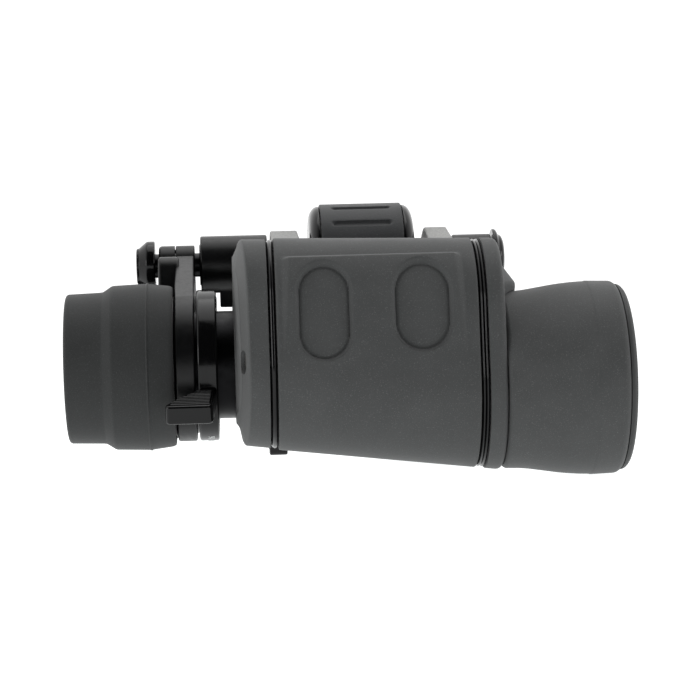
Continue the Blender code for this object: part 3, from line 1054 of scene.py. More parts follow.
@dataclass
class PrismHousing(Assembly):
    """One housing's skins: armour sleeve, covers, trim rings, strap lug and cover screw."""

    form: HousingForm = field(default_factory=HousingForm)
    spacing: float = 1.1
    wall_spacing: float = 0.33
    sleeve_t: float = 2.4
    round_edge: float = 0.45
    tube_hole_r: float = 15.6
    barrel_hole_r: float = 18.7
    screw_w: float = 70.6
    screw_z: float = 33.2
    sweep: float = 2.6  # how far the rear cover's outer edge is swept forwards
    sweep_w: float = 54.0
    outer_w: float = 77.7

    def loft(self, wall_spacing: float | None = None) -> RingLoft:
        """Starts a skin on the housing's form."""
        return RingLoft(self.form, self.half, self.spacing, wall_spacing or self.spacing)

    def piece(self, name: str, coat: Coat, sharp: float = 32.0) -> Piece:
        """A piece of this half's body."""
        return Piece(self.own(name), self.own("body"), coat, sharp)

    def build(self) -> None:
        """Builds every piece of the housing."""
        self.armour()
        self.rear_cover()
        self.front_cover()
        self.trim("rear_trim_ring", 1)
        self.trim("front_trim_ring", 2)
        self.screw()
        self.strap_lug()
        self.dress_inside()

    def armour(self) -> None:
        """Builds the rubber sleeve, with its raised panel and finger hollows."""
        rear, front = x_range(self.own("armour_sleeve"))
        r, skin = self.round_edge, self.loft(self.wall_spacing)
        mid, deep = MID_ROUND * r, self.sleeve_t
        skin.add_all(((rear, deep), (rear, r), (rear + mid, mid), (rear + r, 0.0)))
        skin.add_evenly(front - r, self.wall_spacing)
        skin.add_all(((front - mid, mid), (front, r), (front, deep), (rear, deep)))
        hollows = (FingerHollow(-5.7, 45.9, 13.0, 7.4), FingerHollow(20.1, 46.9, 12.1, 7.9))
        panel = SidePanel()
        inner_skin = self.sleeve_t * 0.9
        for vert in skin.bm.verts:
            w, z = abs(vert.co.y), vert.co.z
            if w < self.form.wall_w or z < panel.fade_z:
                continue
            normal, inset = self.nearest(skin, vert)
            if inset > inner_skin:
                continue
            lift = panel.at(vert.co.x, z) - sum(hollow.at(vert.co.x, z) for hollow in hollows)
            vert.co += Vector((0.0, self.half.value * normal.x, normal.y)) * lift
        piece = self.piece("armour_sleeve", self.finishes.armour, 50.0)
        made = piece.finished(skin.bm)
        if self.half is Half.RIGHT:
            piece.cut(made, self.lug_notches(rear, front))

    def nearest(self, skin: RingLoft, vert: bmesh.types.BMVert) -> tuple[Vector, float]:
        """Finds the outline's normal at a vertex of a skin, and how far in the vertex is.

        Args:
            skin: The skin that the vertex belongs to.
            vert: The vertex.

        Returns:
            The (w, z) normal and the inset.
        """
        index = skin.bm.verts.layers.int["index"]
        point = skin.points[vert[index]]
        flat = Vector((self.half.value * vert.co.y, vert.co.z))
        inset = (point.at(self.form.share(vert.co.x), 0.0) - flat).dot(point.normal)
        return point.normal, inset

    def lug_notches(self, rear: float, front: float) -> list[bmesh.types.BMesh]:
        """Makes the cutters for the hinge lugs' feet.

        Args:
            rear: The sleeve's rear end.
            front: The sleeve's front end.

        Returns:
            A cutter for each lug.
        """
        room = 0.25
        circles = ((0.0, self.axes.hinge_z, 9.4 + room), (33.0, 57.6, 6.5 + room))
        lug_rear, lug_front = x_range("right_rear_hinge_lug"), x_range("right_front_hinge_lug")
        spans = ((rear - 2.0, lug_rear[1] + room), (lug_front[0] - room, front + 2.0))
        return [plate(belt(circles), span, self.half, 0.05) for span in spans]

    def rear_cover(self) -> None:
        """Builds the rear cover, with its sloping rim, eyepiece hole and screw pit."""
        back, seam = x_range(self.own("rear_cover"))
        skin = self.loft()
        wall, lip = 2.2, 0.35
        flush, slope = 0.3, (4.0, 8.0, 8.0, 3.5)
        skin.add_all(((back + wall, 5.5), (back + wall + 2.0, wall), (seam, wall), (seam, flush + lip)))
        skin.add_all(((seam - MID_ROUND * lip, flush + MID_ROUND * lip), (seam - lip, flush)))
        skin.add_all(((back + 2.6, flush), (back + 2.2, 0.38), (back + 1.9, (0.7,) * 4)))
        skin.add(back + 1.5, (1.1, 1.4, 1.5, 1.4))
        for ahead, share, more in ((0.35, 0.9, 0.0), (0.08, 0.97, 0.0), (0.0, 1.0, 0.4)):
            skin.add(back + ahead, tuple(share * depth + more for depth in slope))
        skin.capped()
        for vert in skin.bm.verts:
            outwards = clamped((abs(vert.co.y) - self.sweep_w) / (self.outer_w - self.sweep_w))
            depth = (seam - lip - vert.co.x) / (seam - lip - back)
            vert.co.x += self.sweep * outwards * clamped(depth)
        piece = self.piece("rear_cover", self.finishes.armour, 40.0)
        made = piece.finished(skin.bm)
        tube_hole = rod((back - 5.0, seam + 5.0), self.tube_hole_r, *self.axes.eye, self.half)
        floor = back + 4.4
        pit = ((back - 5.0, 0.0, 0), (back - 5.0, 3.5, 0), (floor, 3.1, 0.6), (floor, 0.0, 0))
        piece.cut(made, (tube_hole, turned(pit, self.screw_w, self.screw_z, self.half, 48)))

    def front_cover(self) -> None:
        """Builds the front cover, with the hood that sweeps down over the barrel."""
        seam = x_range(self.own("front_trim_ring"))[1] + 0.3
        face = 41.9
        lip, skin = 0.35, self.loft()
        skin.add_all(((seam, 4.5), (seam, lip), (seam + MID_ROUND * lip, MID_ROUND * lip), (seam + lip, 0.0)))
        rim = 1.6
        for step in range(5):
            angle = math.pi / 2 * step / 4
            skin.add(face - rim + rim * math.sin(angle), rim - rim * math.cos(angle))
        skin.add(face, rim + 0.5)
        piece = self.piece("front_cover", self.finishes.armour, 40.0)
        piece.overlaps = True
        made = piece.finished(join(skin.capped(), self.hood()))
        clear = face + 0.02
        room = ((clear, 0.0, 0), (clear, 24.3, 0), (48.0, 24.4, 0), (56.0, 25.7, 0), (56.0, 0.0, 0))
        place = (*self.axes.objective, self.half)
        piece.cut(made, (rod((20.0, 60.0), self.barrel_hole_r, *place), turned(room, *place)))

    def hood(self) -> bmesh.types.BMesh:
        """Builds the hood: a visor that sweeps from the cover's top to a blunt tip above the barrel, and
        dies away to both sides.

        Returns:
            The visor, which runs into the cover.
        """
        root, base, height = 40.2, 49.0, 15.3
        outline = (
            (root, base, 0), (root, base + height, 0), (41.0, base + height, 0.5), (42.6, 59.4, 3.4),
            (47.5, 52.9, 0.35), (47.6, 52.0, 0.3), (47.2, base, 0),
        )
        bm = wire(outline, True)
        bmesh.ops.contextual_create(bm, geom=bm.edges[:])
        stations, start, end, middle = 24, 31.0, 73.0, 49.0
        crest_w, crest_z, crest_r = self.form.front[1]
        face, reach = bm.faces[:][0], 1.0
        for number in range(stations + 1):
            w = start + (end - start) * number / stations
            aside = abs(w - middle) / ((middle - start) if w < middle else (end - middle))
            fresh = max(1.0 - smooth_step((aside - 0.2) / 0.8), 0.12)
            verts = list(face.verts)
            if number:
                grown = bmesh.ops.extrude_face_region(bm, geom=[face], use_keep_orig=number == 1)["geom"]
                verts = [item for item in grown if isinstance(item, bmesh.types.BMVert)]
                face = next(item for item in grown if isinstance(item, bmesh.types.BMFace))
            beyond = max(w - crest_w, 0.0)
            tall = crest_z + math.sqrt(crest_r**2 - beyond**2) - 0.9 - base
            for vert in verts:
                vert.co.x = root + (vert.co.x - root) * fresh / reach
                vert.co.y = self.half.value * w
                vert.co.z = base + (vert.co.z - base) * tall / height
            reach, height = fresh, tall
        return bm

    def trim(self, name: str, crests: int) -> None:
        """Builds a glossy band in a seam, with rounded crests.

        Args:
            name: The node that it replaces.
            crests: How many crests run round it.
        """
        rear, front = x_range(self.own(name))
        skin = self.loft()
        top, inner = 0.35, 2.2
        skin.add(rear, inner)
        for step in range(6 * crests + 1):
            fall = 1.0 - abs(math.sin(math.pi * step / 6))
            skin.add(rear + (front - rear) * step / (6 * crests), top + 0.5 * fall)
        skin.add_all(((front, inner), (rear, inner)))
        self.piece(name, self.finishes.gloss).finished(skin.bm)

    def screw(self) -> None:
        """Builds the cover screw, with a cross recess in its domed head."""
        head_x, tip_x = x_range(self.own("cover_screw"))
        outline = (
            (head_x, 0.0, 0), (head_x, 2.0, 0.3), (head_x + 0.5, 2.6, 0.2), (head_x + 1.6, 2.6, 0.1),
            (head_x + 1.6, 1.2, 0), (tip_x, 1.2, 0.2), (tip_x, 0.0, 0),
        )
        piece = self.piece("cover_screw", self.finishes.zinc)
        made = piece.finished(turned(outline, self.screw_w, self.screw_z, self.half, 40))
        middle = (head_x, self.half.value * self.screw_w, self.screw_z)
        piece.cut(made, [box((1.6, *slot), middle) for slot in ((2.6, 0.55), (0.55, 2.6))])

    def strap_lug(self) -> None:
        """Builds the eye for the neck strap: a bent bar with rounded edges."""
        node = self.own("strap_lug")
        rear, front = x_range(node)
        low, high = (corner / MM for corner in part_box(node))
        w_low, w_high = sorted((abs(low.y), abs(high.y)))
        foot = high.z + 1.2
        bar = 1.6
        outline = [
            (w_low, foot, 0.0), (w_low, low.z, 1.8), (w_high, low.z, 1.8), (w_high, foot, 0.0),
            (w_high - 2.3, foot, 0.0), (w_high - 2.3, low.z + bar, 0.8), (w_low + 2.3, low.z + bar, 0.8),
            (w_low + 2.3, foot, 0.0),
        ]
        bm = wire(outline, True)
        corners = [(v.co.x, v.co.z) for v in self.walk(bm)]
        bm.free()
        shape = plate(corners, (rear, front), self.half, 0.5)
        self.piece("strap_lug", self.finishes.gloss).finished(shape)

    @staticmethod
    def walk(bm: bmesh.types.BMesh) -> list[bmesh.types.BMVert]:
        """Puts the vertices of a closed wire in order.

        Args:
            bm: The wire.

        Returns:
            Its vertices, each next to the one it is joined to.
        """
        bm.verts.ensure_lookup_table()
        ordered = [bm.verts[0]]
        before = None
        while len(ordered) < len(bm.verts):
            here = ordered[-1]
            onward = [e.other_vert(here) for e in here.link_edges if e.other_vert(here) is not before]
            before = here
            ordered.append(onward[0])
        return ordered

    def dress_inside(self) -> None:
        """Gives the hidden parts of the housing their finishes."""
        for name in ("prism_housing", "prism_shelf"):
            dress(self.own(name), self.finishes.chassis)
        for name in ("front_prism", "rear_prism"):
            dress(self.own(name), self.finishes.prism)


def dress(node: str, coat: Coat) -> None:
    """Gives a CAD node that is shown as it is a finish.

    Args:
        node: The node's name.
        coat: Its finish.
    """
    shown = frame["nodes"][node]
    for place in shown.material_slots:
        place.material = coat.material
    LOG.info("%s: keeps its shape", node)


# --- objectives ---------------------------------------------------------------------------------
@dataclass
class Objective(Assembly):
    """One objective: the flared rubber barrel, its front ring, the lens and the ring that holds it."""

    radius: float = 26.4

    def round_piece(self, name: str, outline: Outline, coat: Coat) -> None:
        """Builds a turned piece of the objective that replaces its node."""
        self.lathe(self.own(name), self.own("body"), coat, outline, self.axes.objective, 128)

    def build(self) -> None:
        """Builds every piece of the objective."""
        r = self.radius
        barrel = (
            (31.0, 16.6, 0), (31.0, 18.4, 0), (42.2, 18.4, 0), (42.2, 23.2, 0), (42.9, 24.0, 0.5),
            (48.0, 24.15, 2.0), (60.5, r - 0.3, 4.0), (65.7, r - 0.14, 0.2), (66.1, r, 0.2),
            (73.1, r - 0.2, 0.8), (74.0, r - 1.1, 0.35), (74.0, 22.3, 0), (66.3, 22.3, 0.1),
            (66.3, 20.5, 0), (57.0, 20.5, 0), (57.0, 18.4, 0), (44.2, 16.6, 0),
        )
        self.round_piece("objective_barrel", barrel, self.finishes.armour)
        ring = (
            (74.15, 22.4, 0), (74.15, 25.35, 0.1), (75.1, 25.2, 0.4), (76.0, 24.2, 0.35),
            (76.0, 23.2, 0.2), (75.2, 22.4, 0.2),
        )
        self.round_piece("objective_front_ring", ring, self.finishes.etched)
        holder = (
            (66.6, 18.6, 0), (66.6, 22.0, 0), (68.6, 22.0, 0.15), (68.6, 19.6, 0.15), (67.6, 18.6, 0.15),
        )
        self.round_piece("objective_lens_ring", holder, self.finishes.anodised)
        lens = lens_outline(58.0, 64.6, 20.2, -0.6, 2.4)
        self.round_piece("objective_lens", lens, self.finishes.lens)


def lens_outline(rear: float, front: float, radius: float, rear_sag: float, front_sag: float) -> Outline:
    """Makes the outline of a lens.

    Args:
        rear: Where its rear rim is.
        front: Where its front rim is.
        radius: Its radius.
        rear_sag: How far the rear face bulges; negative where it is hollow.
        front_sag: How far the front face bulges.

    Returns:
        The outline from the axis at the rear to the axis at the front.
    """
    rings = 12
    steps = [number / rings for number in range(rings + 1)]
    back = [(rear - rear_sag * (1 - s * s), radius * s, 0) for s in steps]
    face = [(front + front_sag * (1 - s * s), radius * s, 0) for s in reversed(steps)]
    return back + face


# --- eyepieces ----------------------------------------------------------------------------------
@dataclass
class Eyepiece(Assembly):
    """One eyepiece: tube, head or diopter ring, folding eyecup, zoom ring and lenses."""

    ring_r: float = 21.2
    fold_x: float = -53.2

    @property
    def head_body(self) -> str:
        """The body that the head, eyecup and eye lens ride on."""
        return "right_diopter" if self.half is Half.RIGHT else "left_bridge"

    def round_piece(self, name: str, outline: Outline, coat: Coat, body: str) -> None:
        """Builds a turned piece of the eyepiece that replaces its node."""
        self.lathe(self.own(name), body, coat, outline, self.axes.eye, 112)

    def build(self) -> None:
        """Builds every piece of the eyepiece."""
        self.eyecup()
        self.tube_and_head()
        self.zoom_ring()
        self.numerals()
        self.lenses()

    def eyecup(self) -> None:
        """Builds the folding rubber eyecup, with its step and the ridge where it folds."""
        rear, front = x_range(self.own("eyecup"))
        fold = self.fold_x
        outline = (
            (rear, 18.4, 0.5), (rear, 20.3, 0.45), (rear + 0.6, 20.9, 0.35), (-66.4, 21.2, 0.4),
            (-65.6, 21.3, 0.25), (-63.0, 23.0, 0.45), (fold - 0.35, 23.35, 0.12), (fold, 23.6, 0.1),
            (fold + 0.35, 23.3, 0.12), (-46.9, 22.55, 0.5), (front, 22.1, 0.3), (front, 19.9, 0),
            (-62.0, 19.9, 0), (-62.0, 14.4, 0.4), (-63.8, 14.4, 0.5), (-63.8, 17.2, 0.9),
        )
        piece = Piece(self.own("eyecup"), self.head_body, self.finishes.eyecup, 28.0)
        piece.finished(turned(outline, *self.axes.eye, self.half, 112))

    def tube_and_head(self) -> None:
        """Builds the sliding tube, and the head that the eyecup sits on."""
        rear, front = x_range(self.own("eyepiece_tube"))
        tube = ((rear, 13.2, 0), (rear, 15.1, 0.15), (front, 15.1, 0.3), (front, 13.2, 0))
        self.round_piece("eyepiece_tube", tube, self.finishes.anodised, self.own("bridge"))
        head = (
            (-61.7, 12.2, 0.2), (-61.7, 19.6, 0.1), (-45.9, 19.6, 0.15), (-45.9, 13.6, 0),
            (-55.2, 13.6, 0), (-55.2, 12.2, 0),
        )
        name = "diopter_ring" if self.half is Half.RIGHT else "eyepiece_head"
        self.round_piece(name, head, self.finishes.satin, self.head_body)

    def zoom_ring(self) -> None:
        """Builds the zoom ring, with a fine groove near its rear edge; the right one carries the lever."""
        rear, front = -39.6, x_range(self.own("zoom_ring"))[1]
        bore, r = 15.55, self.ring_r
        outline = (
            (rear, bore, 0), (rear, r - 0.3, 0.25), (rear + 0.5, r, 0.2), (front - 0.3, r, 0.3),
            (front, r - 0.5, 0.2), (front, bore, 0),
        )
        bm = turned(outline, *self.axes.eye, self.half, 112)
        if self.half is Half.RIGHT:
            join(bm, ZoomLever(self.axes).shape())
        Piece(self.own("zoom_ring"), self.own("zoom"), self.finishes.gloss).finished(bm)

    def numerals(self) -> None:
        """Prints the zoom scale round the ring."""
        shapes = bmesh.new()
        middle, start, step = -36.3, 252.0, -17.0
        for number, text in enumerate(("16", "14", "12", "10", "8")):
            curve = bpy.data.curves.new("numeral", "FONT")
            curve.body = text
            curve.size = 2.7
            curve.align_x = curve.align_y = "CENTER"
            curve.extrude = 0.03
            curve.resolution_u = 3
            written = new_object("numeral", curve)
            mesh = evaluated(written)
            stand = Matrix(((0, -1, 0, middle), (1, 0, 0, 0), (0, 0, 1, self.ring_r + 0.02), (0, 0, 0, 1)))
            turn = Matrix.Rotation(math.radians(start - 90 - step * number), 4, "X")
            mesh.transform(turn @ stand)
            shapes.from_mesh(mesh)
            bpy.data.objects.remove(written)
            bpy.data.meshes.remove(mesh)
        place = (0.0, self.half.value * self.axes.eye[0], self.axes.eye[1])
        bmesh.ops.translate(shapes, verts=shapes.verts, vec=place)
        Piece(self.own("zoom_scale"), self.own("zoom"), self.finishes.ink, stands_in=False).finished(shapes)

    def lenses(self) -> None:
        """Builds the eye, zoom and field lenses."""
        lenses = (
            ("eye_lens", lens_outline(-60.4, -57.0, 11.9, 1.0, 1.2), self.head_body),
            ("zoom_lens", lens_outline(-39.5, -36.0, 12.9, 1.2, -1.0), self.own("zoom_lens")),
            ("field_lens", lens_outline(-23.0, -20.5, 12.9, 1.2, 1.0), self.own("bridge")),
        )
        for name, outline, body in lenses:
            self.round_piece(name, outline, self.finishes.lens, body)


@dataclass
class ZoomLever:
    """The lever on the right zoom ring: a paddle that flares towards the eye, with ribs on top."""

    axes: Axes
    thickness: float = 5.4
    edge: float = 0.9
    tilt_deg: float = 203.5  # direction about the eyepiece, from +Y to +Z
    rib_count: int = 10
    rib_pitch: float = 0.95
    first_rib_r: float = 23.4

    def shape(self) -> bmesh.types.BMesh:
        """Builds the paddle with its ribs.

        Returns:
            The shape in place on the right eyepiece.
        """
        outline = (
            (-39.2, 18.6, 0), (-34.6, 18.6, 0), (-34.6, 22.4, 1.5), (-35.7, 33.4, 1.3),
            (-48.4, 33.4, 1.4), (-48.4, 31.4, 0.5), (-45.2, 27.6, 3.0), (-39.2, 21.6, 0.8),
        )
        bm = wire(outline, True)
        bmesh.ops.contextual_create(bm, geom=bm.edges[:])
        bmesh.ops.translate(bm, verts=bm.verts, vec=(0.0, -self.thickness / 2, 0.0))
        bevel(bm, thicken(bm, (0.0, self.thickness, 0.0)), self.edge, 4)
        for number in range(self.rib_count):
            join(bm, self.rib(self.first_rib_r + self.rib_pitch * number))
        turn = Matrix.Rotation(math.radians(self.tilt_deg - 90.0), 4, "X")
        place = Matrix.Translation((0.0, -self.axes.eye[0], self.axes.eye[1]))
        bmesh.ops.transform(bm, verts=bm.verts, matrix=place @ turn)
        return bm

    def rib(self, r: float) -> bmesh.types.BMesh:
        """Builds one rib across the paddle.

        Args:
            r: Its distance from the eyepiece's axis.

        Returns:
            A bar with a rounded top.
        """
        reach = smooth_step((r - 21.6) / 10.5)
        rear, front = -39.6 - 7.4 * reach, -35.9 - 0.6 * reach
        middle = self.thickness / 2 - 0.08
        bm = box((front - rear, 0.7, 0.5), ((rear + front) / 2, middle, r))
        bevel(bm, [e for e in bm.edges if all(v.co.y > middle for v in e.verts)], 0.2, 2)
        return bm


# --- bridge -------------------------------------------------------------------------------------
@dataclass
class BridgeArm(Assembly):
    """One arm of the eyepiece bridge: hub, plate and the ring that holds the tube."""

    plate_x: tuple[float, float] = (-45.6, -40.3)
    web_x: tuple[float, float] = (-50.6, -45.9)
    cut_x: tuple[float, float] = (-60.0, -30.0)
    ring_r: float = 21.2
    hub_r: float = 5.8
    shaft_hole_r: float = 3.9
    tube_hole_r: float = 15.45

    def build(self) -> None:
        """Builds the arm."""
        hinge_z = self.axes.hinge_z
        ring = (*self.axes.eye, self.ring_r)
        main = plate(belt(((5.6, hinge_z - 1.7, 4.2), ring), 144), self.plate_x, self.half, 0.55)
        web_circles = [(11.6, hinge_z - 2.5, 4.6), (14.5, hinge_z - 7.3, 3.4)]
        if self.half is Half.LEFT:
            web_circles.append((0.0, hinge_z, self.hub_r))
        web = plate(belt(web_circles, 72), (self.web_x[0], self.plate_x[0] + 1.0), self.half, 0.9)
        shapes = [web]
        if self.half is Half.RIGHT:
            hub = (
                (self.plate_x[0], 0.0, 0), (self.plate_x[0], self.hub_r, 0.3),
                (self.plate_x[1] + 0.2, self.hub_r, 0.4), (self.plate_x[1] + 0.2, 0.0, 0),
            )
            shapes.append(turned(hub, 0.0, hinge_z, self.half, 64))
        piece = Piece(self.own("bridge_arm"), self.own("bridge"), self.finishes.satin, 30.0, True)
        made = piece.finished(join(main, *shapes))
        cutters = [
            rod(self.cut_x, self.tube_hole_r, *self.axes.eye, self.half),
            rod(self.cut_x, self.shaft_hole_r, *self.axes.hinge, self.half),
        ]
        if self.half is Half.LEFT:
            cutters.append(rod((self.web_x[1], 0.0), self.hub_r + 0.4, *self.axes.hinge, self.half))
        piece.cut(made, cutters)


# --- hinge --------------------------------------------------------------------------------------
@dataclass
class Hinge(Assembly):
    """The hinge: lugs of both halves, the axles and the tripod cap."""

    lug_r: float = 9.4
    foot: Circle = (33.0, 57.6, 6.5)
    tube_foot: Circle = (30.0, 54.4, 7.6)

    def build(self) -> None:
        """Builds every piece of the hinge."""
        self.lug("right_rear_hinge_lug", Half.RIGHT, self.lug_r, 6.3, None, self.finishes.enamel, (0.0, 1.2))
        self.lug("right_front_hinge_lug", Half.RIGHT, self.lug_r, 5.3, None, self.finishes.enamel, (1.4, 0.0))
        self.lug("left_rear_hinge_tube", Half.LEFT, 8.4, 6.3, (-33.0, -20.8), self.finishes.satin, (0.0, 0.0))
        self.lug("left_front_hinge_tube", Half.LEFT, 7.0, 5.3, (37.6, 41.4), self.finishes.satin, (0.0, 0.0))
        for node in ("rear_hinge_axle", "front_hinge_axle"):
            dress(node, self.finishes.anodised)
        self.cap()

    def lug(
        self,
        node: str,
        half: Half,
        barrel_r: float,
        bore_r: float,
        arm_x: tuple[float, float] | None,
        coat: Coat,
        slopes: tuple[float, float],
    ) -> None:
        """Builds a hinge barrel with the arm that stands on the housing.

        Args:
            node: The node that it replaces.
            half: The half that the arm stands on.
            barrel_r: The barrel's radius.
            bore_r: The bore's radius.
            arm_x: Where the arm starts and ends, or None where it is as long as the barrel.
            coat: Its finish.
            slopes: How far the rear and front faces lean in towards the top.
        """
        hinge_z = self.axes.hinge_z
        span = x_range(node)
        barrel = (
            (span[0], bore_r, 0.3), (span[0], barrel_r, 0.5), (span[1], barrel_r, 0.5),
            (span[1], bore_r, 0.3),
        )
        bm = turned(barrel, 0.0, hinge_z, half, 96)
        arm_span = arm_x or (span[0] + 0.02, span[1] - 0.02)
        foot = self.tube_foot if node == "left_rear_hinge_tube" else self.foot
        circles = ((0.0, hinge_z, barrel_r - 0.01), foot)
        arm = plate(belt(circles, 96), arm_span, half, 0.5)
        lug = Piece(node, f"{half.label}_body", coat, 30.0, slot=Slot.HINGE)
        made = lug.finished(arm)
        bore = rod((span[0] - 5, span[1] + 5), barrel_r - 0.6, 0.0, hinge_z, half)
        seat = RingLoft(HousingForm(), half, 1.2, 1.2)
        inset = 0.0 if half is Half.LEFT else 0.6
        seat.add_all(((arm_span[0] - 5.0, inset), (arm_span[1] + 5.0, inset)))
        lug.cut(made, (bore, seat.capped()))
        lug.add(made, bm)
        self.lean(made, span, slopes)

    def lean(self, made: bpy.types.Object, span: tuple[float, float], slopes: tuple[float, float]) -> None:
        """Leans the end faces in towards the top, as casting draft does.

        Args:
            made: The piece.
            span: Where it starts and ends.
            slopes: How far the rear and front faces lean in.
        """
        low, high = self.axes.hinge_z - 2.0, self.axes.hinge_z + self.lug_r
        middle = (span[0] + span[1]) / 2
        for vert in made.data.vertices:
            climb = clamped((vert.co.z / MM - low) / (high - low))
            rearwards = vert.co.x / MM < middle
            vert.co.x += climb * (slopes[0] if rearwards else -slopes[1]) * MM

    def cap(self) -> None:
        """Builds the tripod cap, stepped and flat at the front, with a coin slot."""
        rear, front = x_range("tripod_cap")
        outline = (
            (rear, 0.0, 0), (rear, 2.9, 0.3), (47.9, 2.9, 0), (47.9, 8.3, 0.25), (48.5, 8.5, 0.3),
            (49.2, 8.1, 0.4), (49.6, 6.9, 0.4), (50.6, 6.5, 0.5), (front, 5.2, 0.3), (front, 0.0, 0),
        )
        self.lathe("tripod_cap", "tripod_cap", self.finishes.gloss, outline, self.axes.hinge, 80)


# --- focus drive --------------------------------------------------------------------------------
@dataclass
class FocusDrive(Assembly):
    """The focus wheel with its ribbed grip, the shaft and the knob at the shaft's end."""

    core_r: float = 14.4
    grip_r: float = 16.9
    groove_count: int = 14
    groove_half_length: float = 8.7
    groove_half_width: float = 1.05
    groove_depth: float = 0.75

    def build(self) -> None:
        """Builds every piece of the drive."""
        self.wheel()
        self.grip()
        self.shaft_and_knob()

    def wheel(self) -> None:
        """Builds the wheel's core, with glossy rounded flanges."""
        rear, front = x_range("focus_wheel")
        flange, lip = 3.1, 16.3
        outline = (
            (rear, 3.9, 0), (rear, 12.4, 1.0), (rear + 0.7, 15.2, 1.5), (rear + 2.4, lip, 0.8),
            (rear + flange, lip, 0.15), (rear + flange, self.core_r, 0), (front - flange, self.core_r, 0),
            (front - flange, lip, 0.15), (front - 2.4, lip, 0.8), (front - 0.7, 15.2, 1.5),
            (front, 12.4, 1.0), (front, 3.9, 0),
        )
        self.lathe("focus_wheel", "focus_wheel", self.finishes.gloss, outline, self.axes.hinge, 128)

    def grip(self) -> None:
        """Builds the rubber grip, with grooves pressed in along it."""
        rear, front = x_range("focus_wheel_grip")
        inner = self.core_r + 0.3
        edge = 0.35
        outline = [(rear, inner, 0), (rear, self.grip_r - edge, 0), (rear + 0.1, self.grip_r - 0.1, 0)]
        count = 60
        for number in range(count + 1):
            outline.append((rear + edge + (front - rear - 2 * edge) * number / count, self.grip_r, 0))
        outline += [(front - 0.1, self.grip_r - 0.1, 0), (front, self.grip_r - edge, 0), (front, inner, 0)]
        bm = turned(outline, 0.0, 0.0, self.half, self.groove_count * 24)
        middle = (rear + front) / 2
        pitch = math.tau / self.groove_count
        straight = self.groove_half_length - self.groove_half_width
        for vert in bm.verts:
            r = math.hypot(vert.co.y, vert.co.z)
            if r < self.grip_r - edge:
                continue
            angle = math.atan2(vert.co.z, vert.co.y)
            aside = r * ((angle / pitch) % 1.0 - 0.5) * pitch
            beyond = max(abs(vert.co.x - middle) - straight, 0.0)
            inwards = self.groove_half_width - math.hypot(aside, beyond)
            sunk = self.groove_depth * smooth_step(inwards / 0.55)
            vert.co.y *= (r - sunk) / r
            vert.co.z *= (r - sunk) / r
        bmesh.ops.translate(bm, verts=bm.verts, vec=(0.0, 0.0, self.axes.hinge_z))
        Piece("focus_wheel_grip", "focus_wheel", self.finishes.grip, 45.0).finished(bm)

    def shaft_and_knob(self) -> None:
        """Builds the shaft and the knob that ends it."""
        rear, front = x_range("focus_shaft")
        shaft = ((rear, 0.0, 0), (rear, 3.5, 0.3), (front, 3.5, 0.5), (front, 0.0, 0))
        self.lathe("focus_shaft", "left_bridge", self.finishes.steel, shaft, self.axes.hinge, 64)
        end = x_range("shaft_end_knob")[0]
        knob = (
            (end, 0.0, 0), (end, 5.2, 0.35), (end + 0.75, 5.3, 0.2), (end + 3.1, 7.3, 0.4),
            (end + 5.5, 7.3, 0.5), (end + 5.5, 3.6, 0), (end + 2.3, 3.6, 0), (end + 2.3, 0.0, 0),
        )
        self.lathe("shaft_end_knob", "left_bridge", self.finishes.gloss, knob, self.axes.hinge, 80)


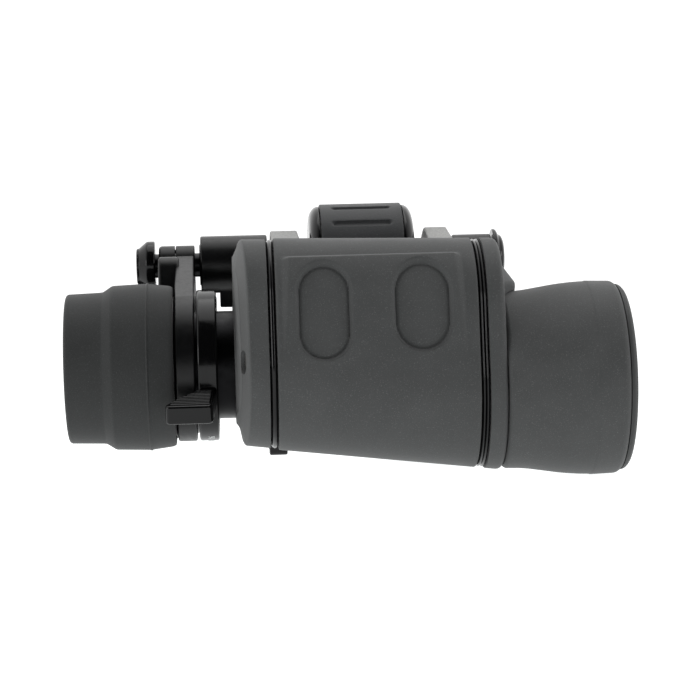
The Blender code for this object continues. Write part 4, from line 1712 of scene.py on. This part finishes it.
# --- studio -------------------------------------------------------------------------------------
@dataclass
class Studio:
    """A white table in an even white light tent, with the camera at the user's right."""

    camera_place: tuple[float, float, float] = (-0.0317, -0.656, 0.0357)
    camera_yaw_deg: float = 3.2
    camera_roll_deg: float = 1.65
    lens_mm: float = 114.0

    def build(self) -> None:
        """Builds the table, the lights, the world and the camera."""
        self.table()
        self.tent()
        self.lamp("top_softbox", (0.05, 0.05, 0.9), (0.0, 0.0, 0.03), 0.7, 2.5)
        self.lamp("rear_side_softbox", (-0.95, -0.5, 0.25), (0.0, -0.05, 0.04), 0.35, 1.3)
        self.lamp("front_side_softbox", (0.95, -0.5, 0.25), (0.0, -0.05, 0.04), 0.35, 1.3)
        self.camera()
        view = bpy.context.scene.view_settings
        view.view_transform = "Standard"
        view.look = "None"

    def table(self) -> None:
        """Builds the pale table, lit from below as a light table is."""
        bm = bmesh.new()
        bmesh.ops.create_grid(bm, x_segments=1, y_segments=1, size=6.0)
        mesh = bpy.data.meshes.new("table")
        bm.to_mesh(mesh)
        bm.free()
        look = {
            "Base Color": (0.3, 0.3, 0.3, 1.0),
            "Roughness": 0.8,
            "Emission Color": (0.98, 1.0, 1.0, 1.0),
            "Emission Strength": 1.0,
        }
        mesh.materials.append(Recipe("opal_acrylic_sheet").finished(look))
        floor = new_object("table", mesh)
        floor.location.z = -0.0002

    def tent(self) -> None:
        """Builds the world: white all round, dimmer on the side that the camera looks from."""
        world = bpy.data.worlds.new("light_tent")
        world.use_nodes = True
        tree = world.node_tree
        place = add_node(tree, "TexCoord", {})
        parts = add_node(tree, "SeparateXYZ", {"Vector": place.outputs["Generated"]})
        aside = add_node(tree, "Math", {0: parts.outputs["X"]}, operation="ABSOLUTE")
        away = add_node(tree, "Math", {0: aside.outputs[0], 1: parts.outputs["Y"]}, operation="ADD")
        glow = ramp(tree, away.outputs[0], -0.3, 0.6, 0.02, 1.25)
        set_inputs(tree, tree.nodes["Background"], {"Strength": glow, "Color": (1.0, 1.0, 1.0, 1.0)})
        bpy.context.scene.world = world

    def lamp(
        self,
        name: str,
        place: tuple[float, float, float],
        target: tuple[float, float, float],
        size: float,
        power: float,
    ) -> None:
        """Adds a square soft light.

        Args:
            name: The light's name.
            place: Where it is, in metres.
            target: What it points at.
            size: Its side in metres.
            power: Its power in watts.
        """
        data = bpy.data.lights.new(name, "AREA")
        data.size = size
        data.energy = power
        lamp = new_object(name, data)
        lamp.location = place
        lamp.rotation_euler = (Vector(target) - Vector(place)).to_track_quat("-Z", "Y").to_euler()

    def camera(self) -> None:
        """Places the camera level with the housings."""
        data = bpy.data.cameras.new("camera")
        data.lens = self.lens_mm
        data.clip_start = 0.01
        shot = new_object("camera", data)
        yaw = math.radians(-self.camera_yaw_deg)
        level = Matrix.Rotation(yaw, 4, "Z") @ Matrix.Rotation(math.pi / 2, 4, "X")
        roll = Matrix.Rotation(math.radians(-self.camera_roll_deg), 4, "Z")
        shot.matrix_world = Matrix.Translation(self.camera_place) @ level @ roll
        bpy.context.scene.camera = shot


def write_sizes() -> None:
    """Brings the view layer up to date; it writes nothing."""
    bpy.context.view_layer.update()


def main() -> None:
    """Builds the binoculars and the studio."""
    logging.basicConfig(level=logging.INFO, format="%(name)s: %(message)s")
    axes = Axes.from_frame()
    finishes = Finishes()
    for half in Half:
        PrismHousing(half, axes, finishes).build()
        Objective(half, axes, finishes).build()
        Eyepiece(half, axes, finishes).build()
        BridgeArm(half, axes, finishes).build()
    Hinge(Half.LEFT, axes, finishes).build()
    FocusDrive(Half.LEFT, axes, finishes).build()
    Studio().build()
    write_sizes()


if __name__ == "__main__":
    main()
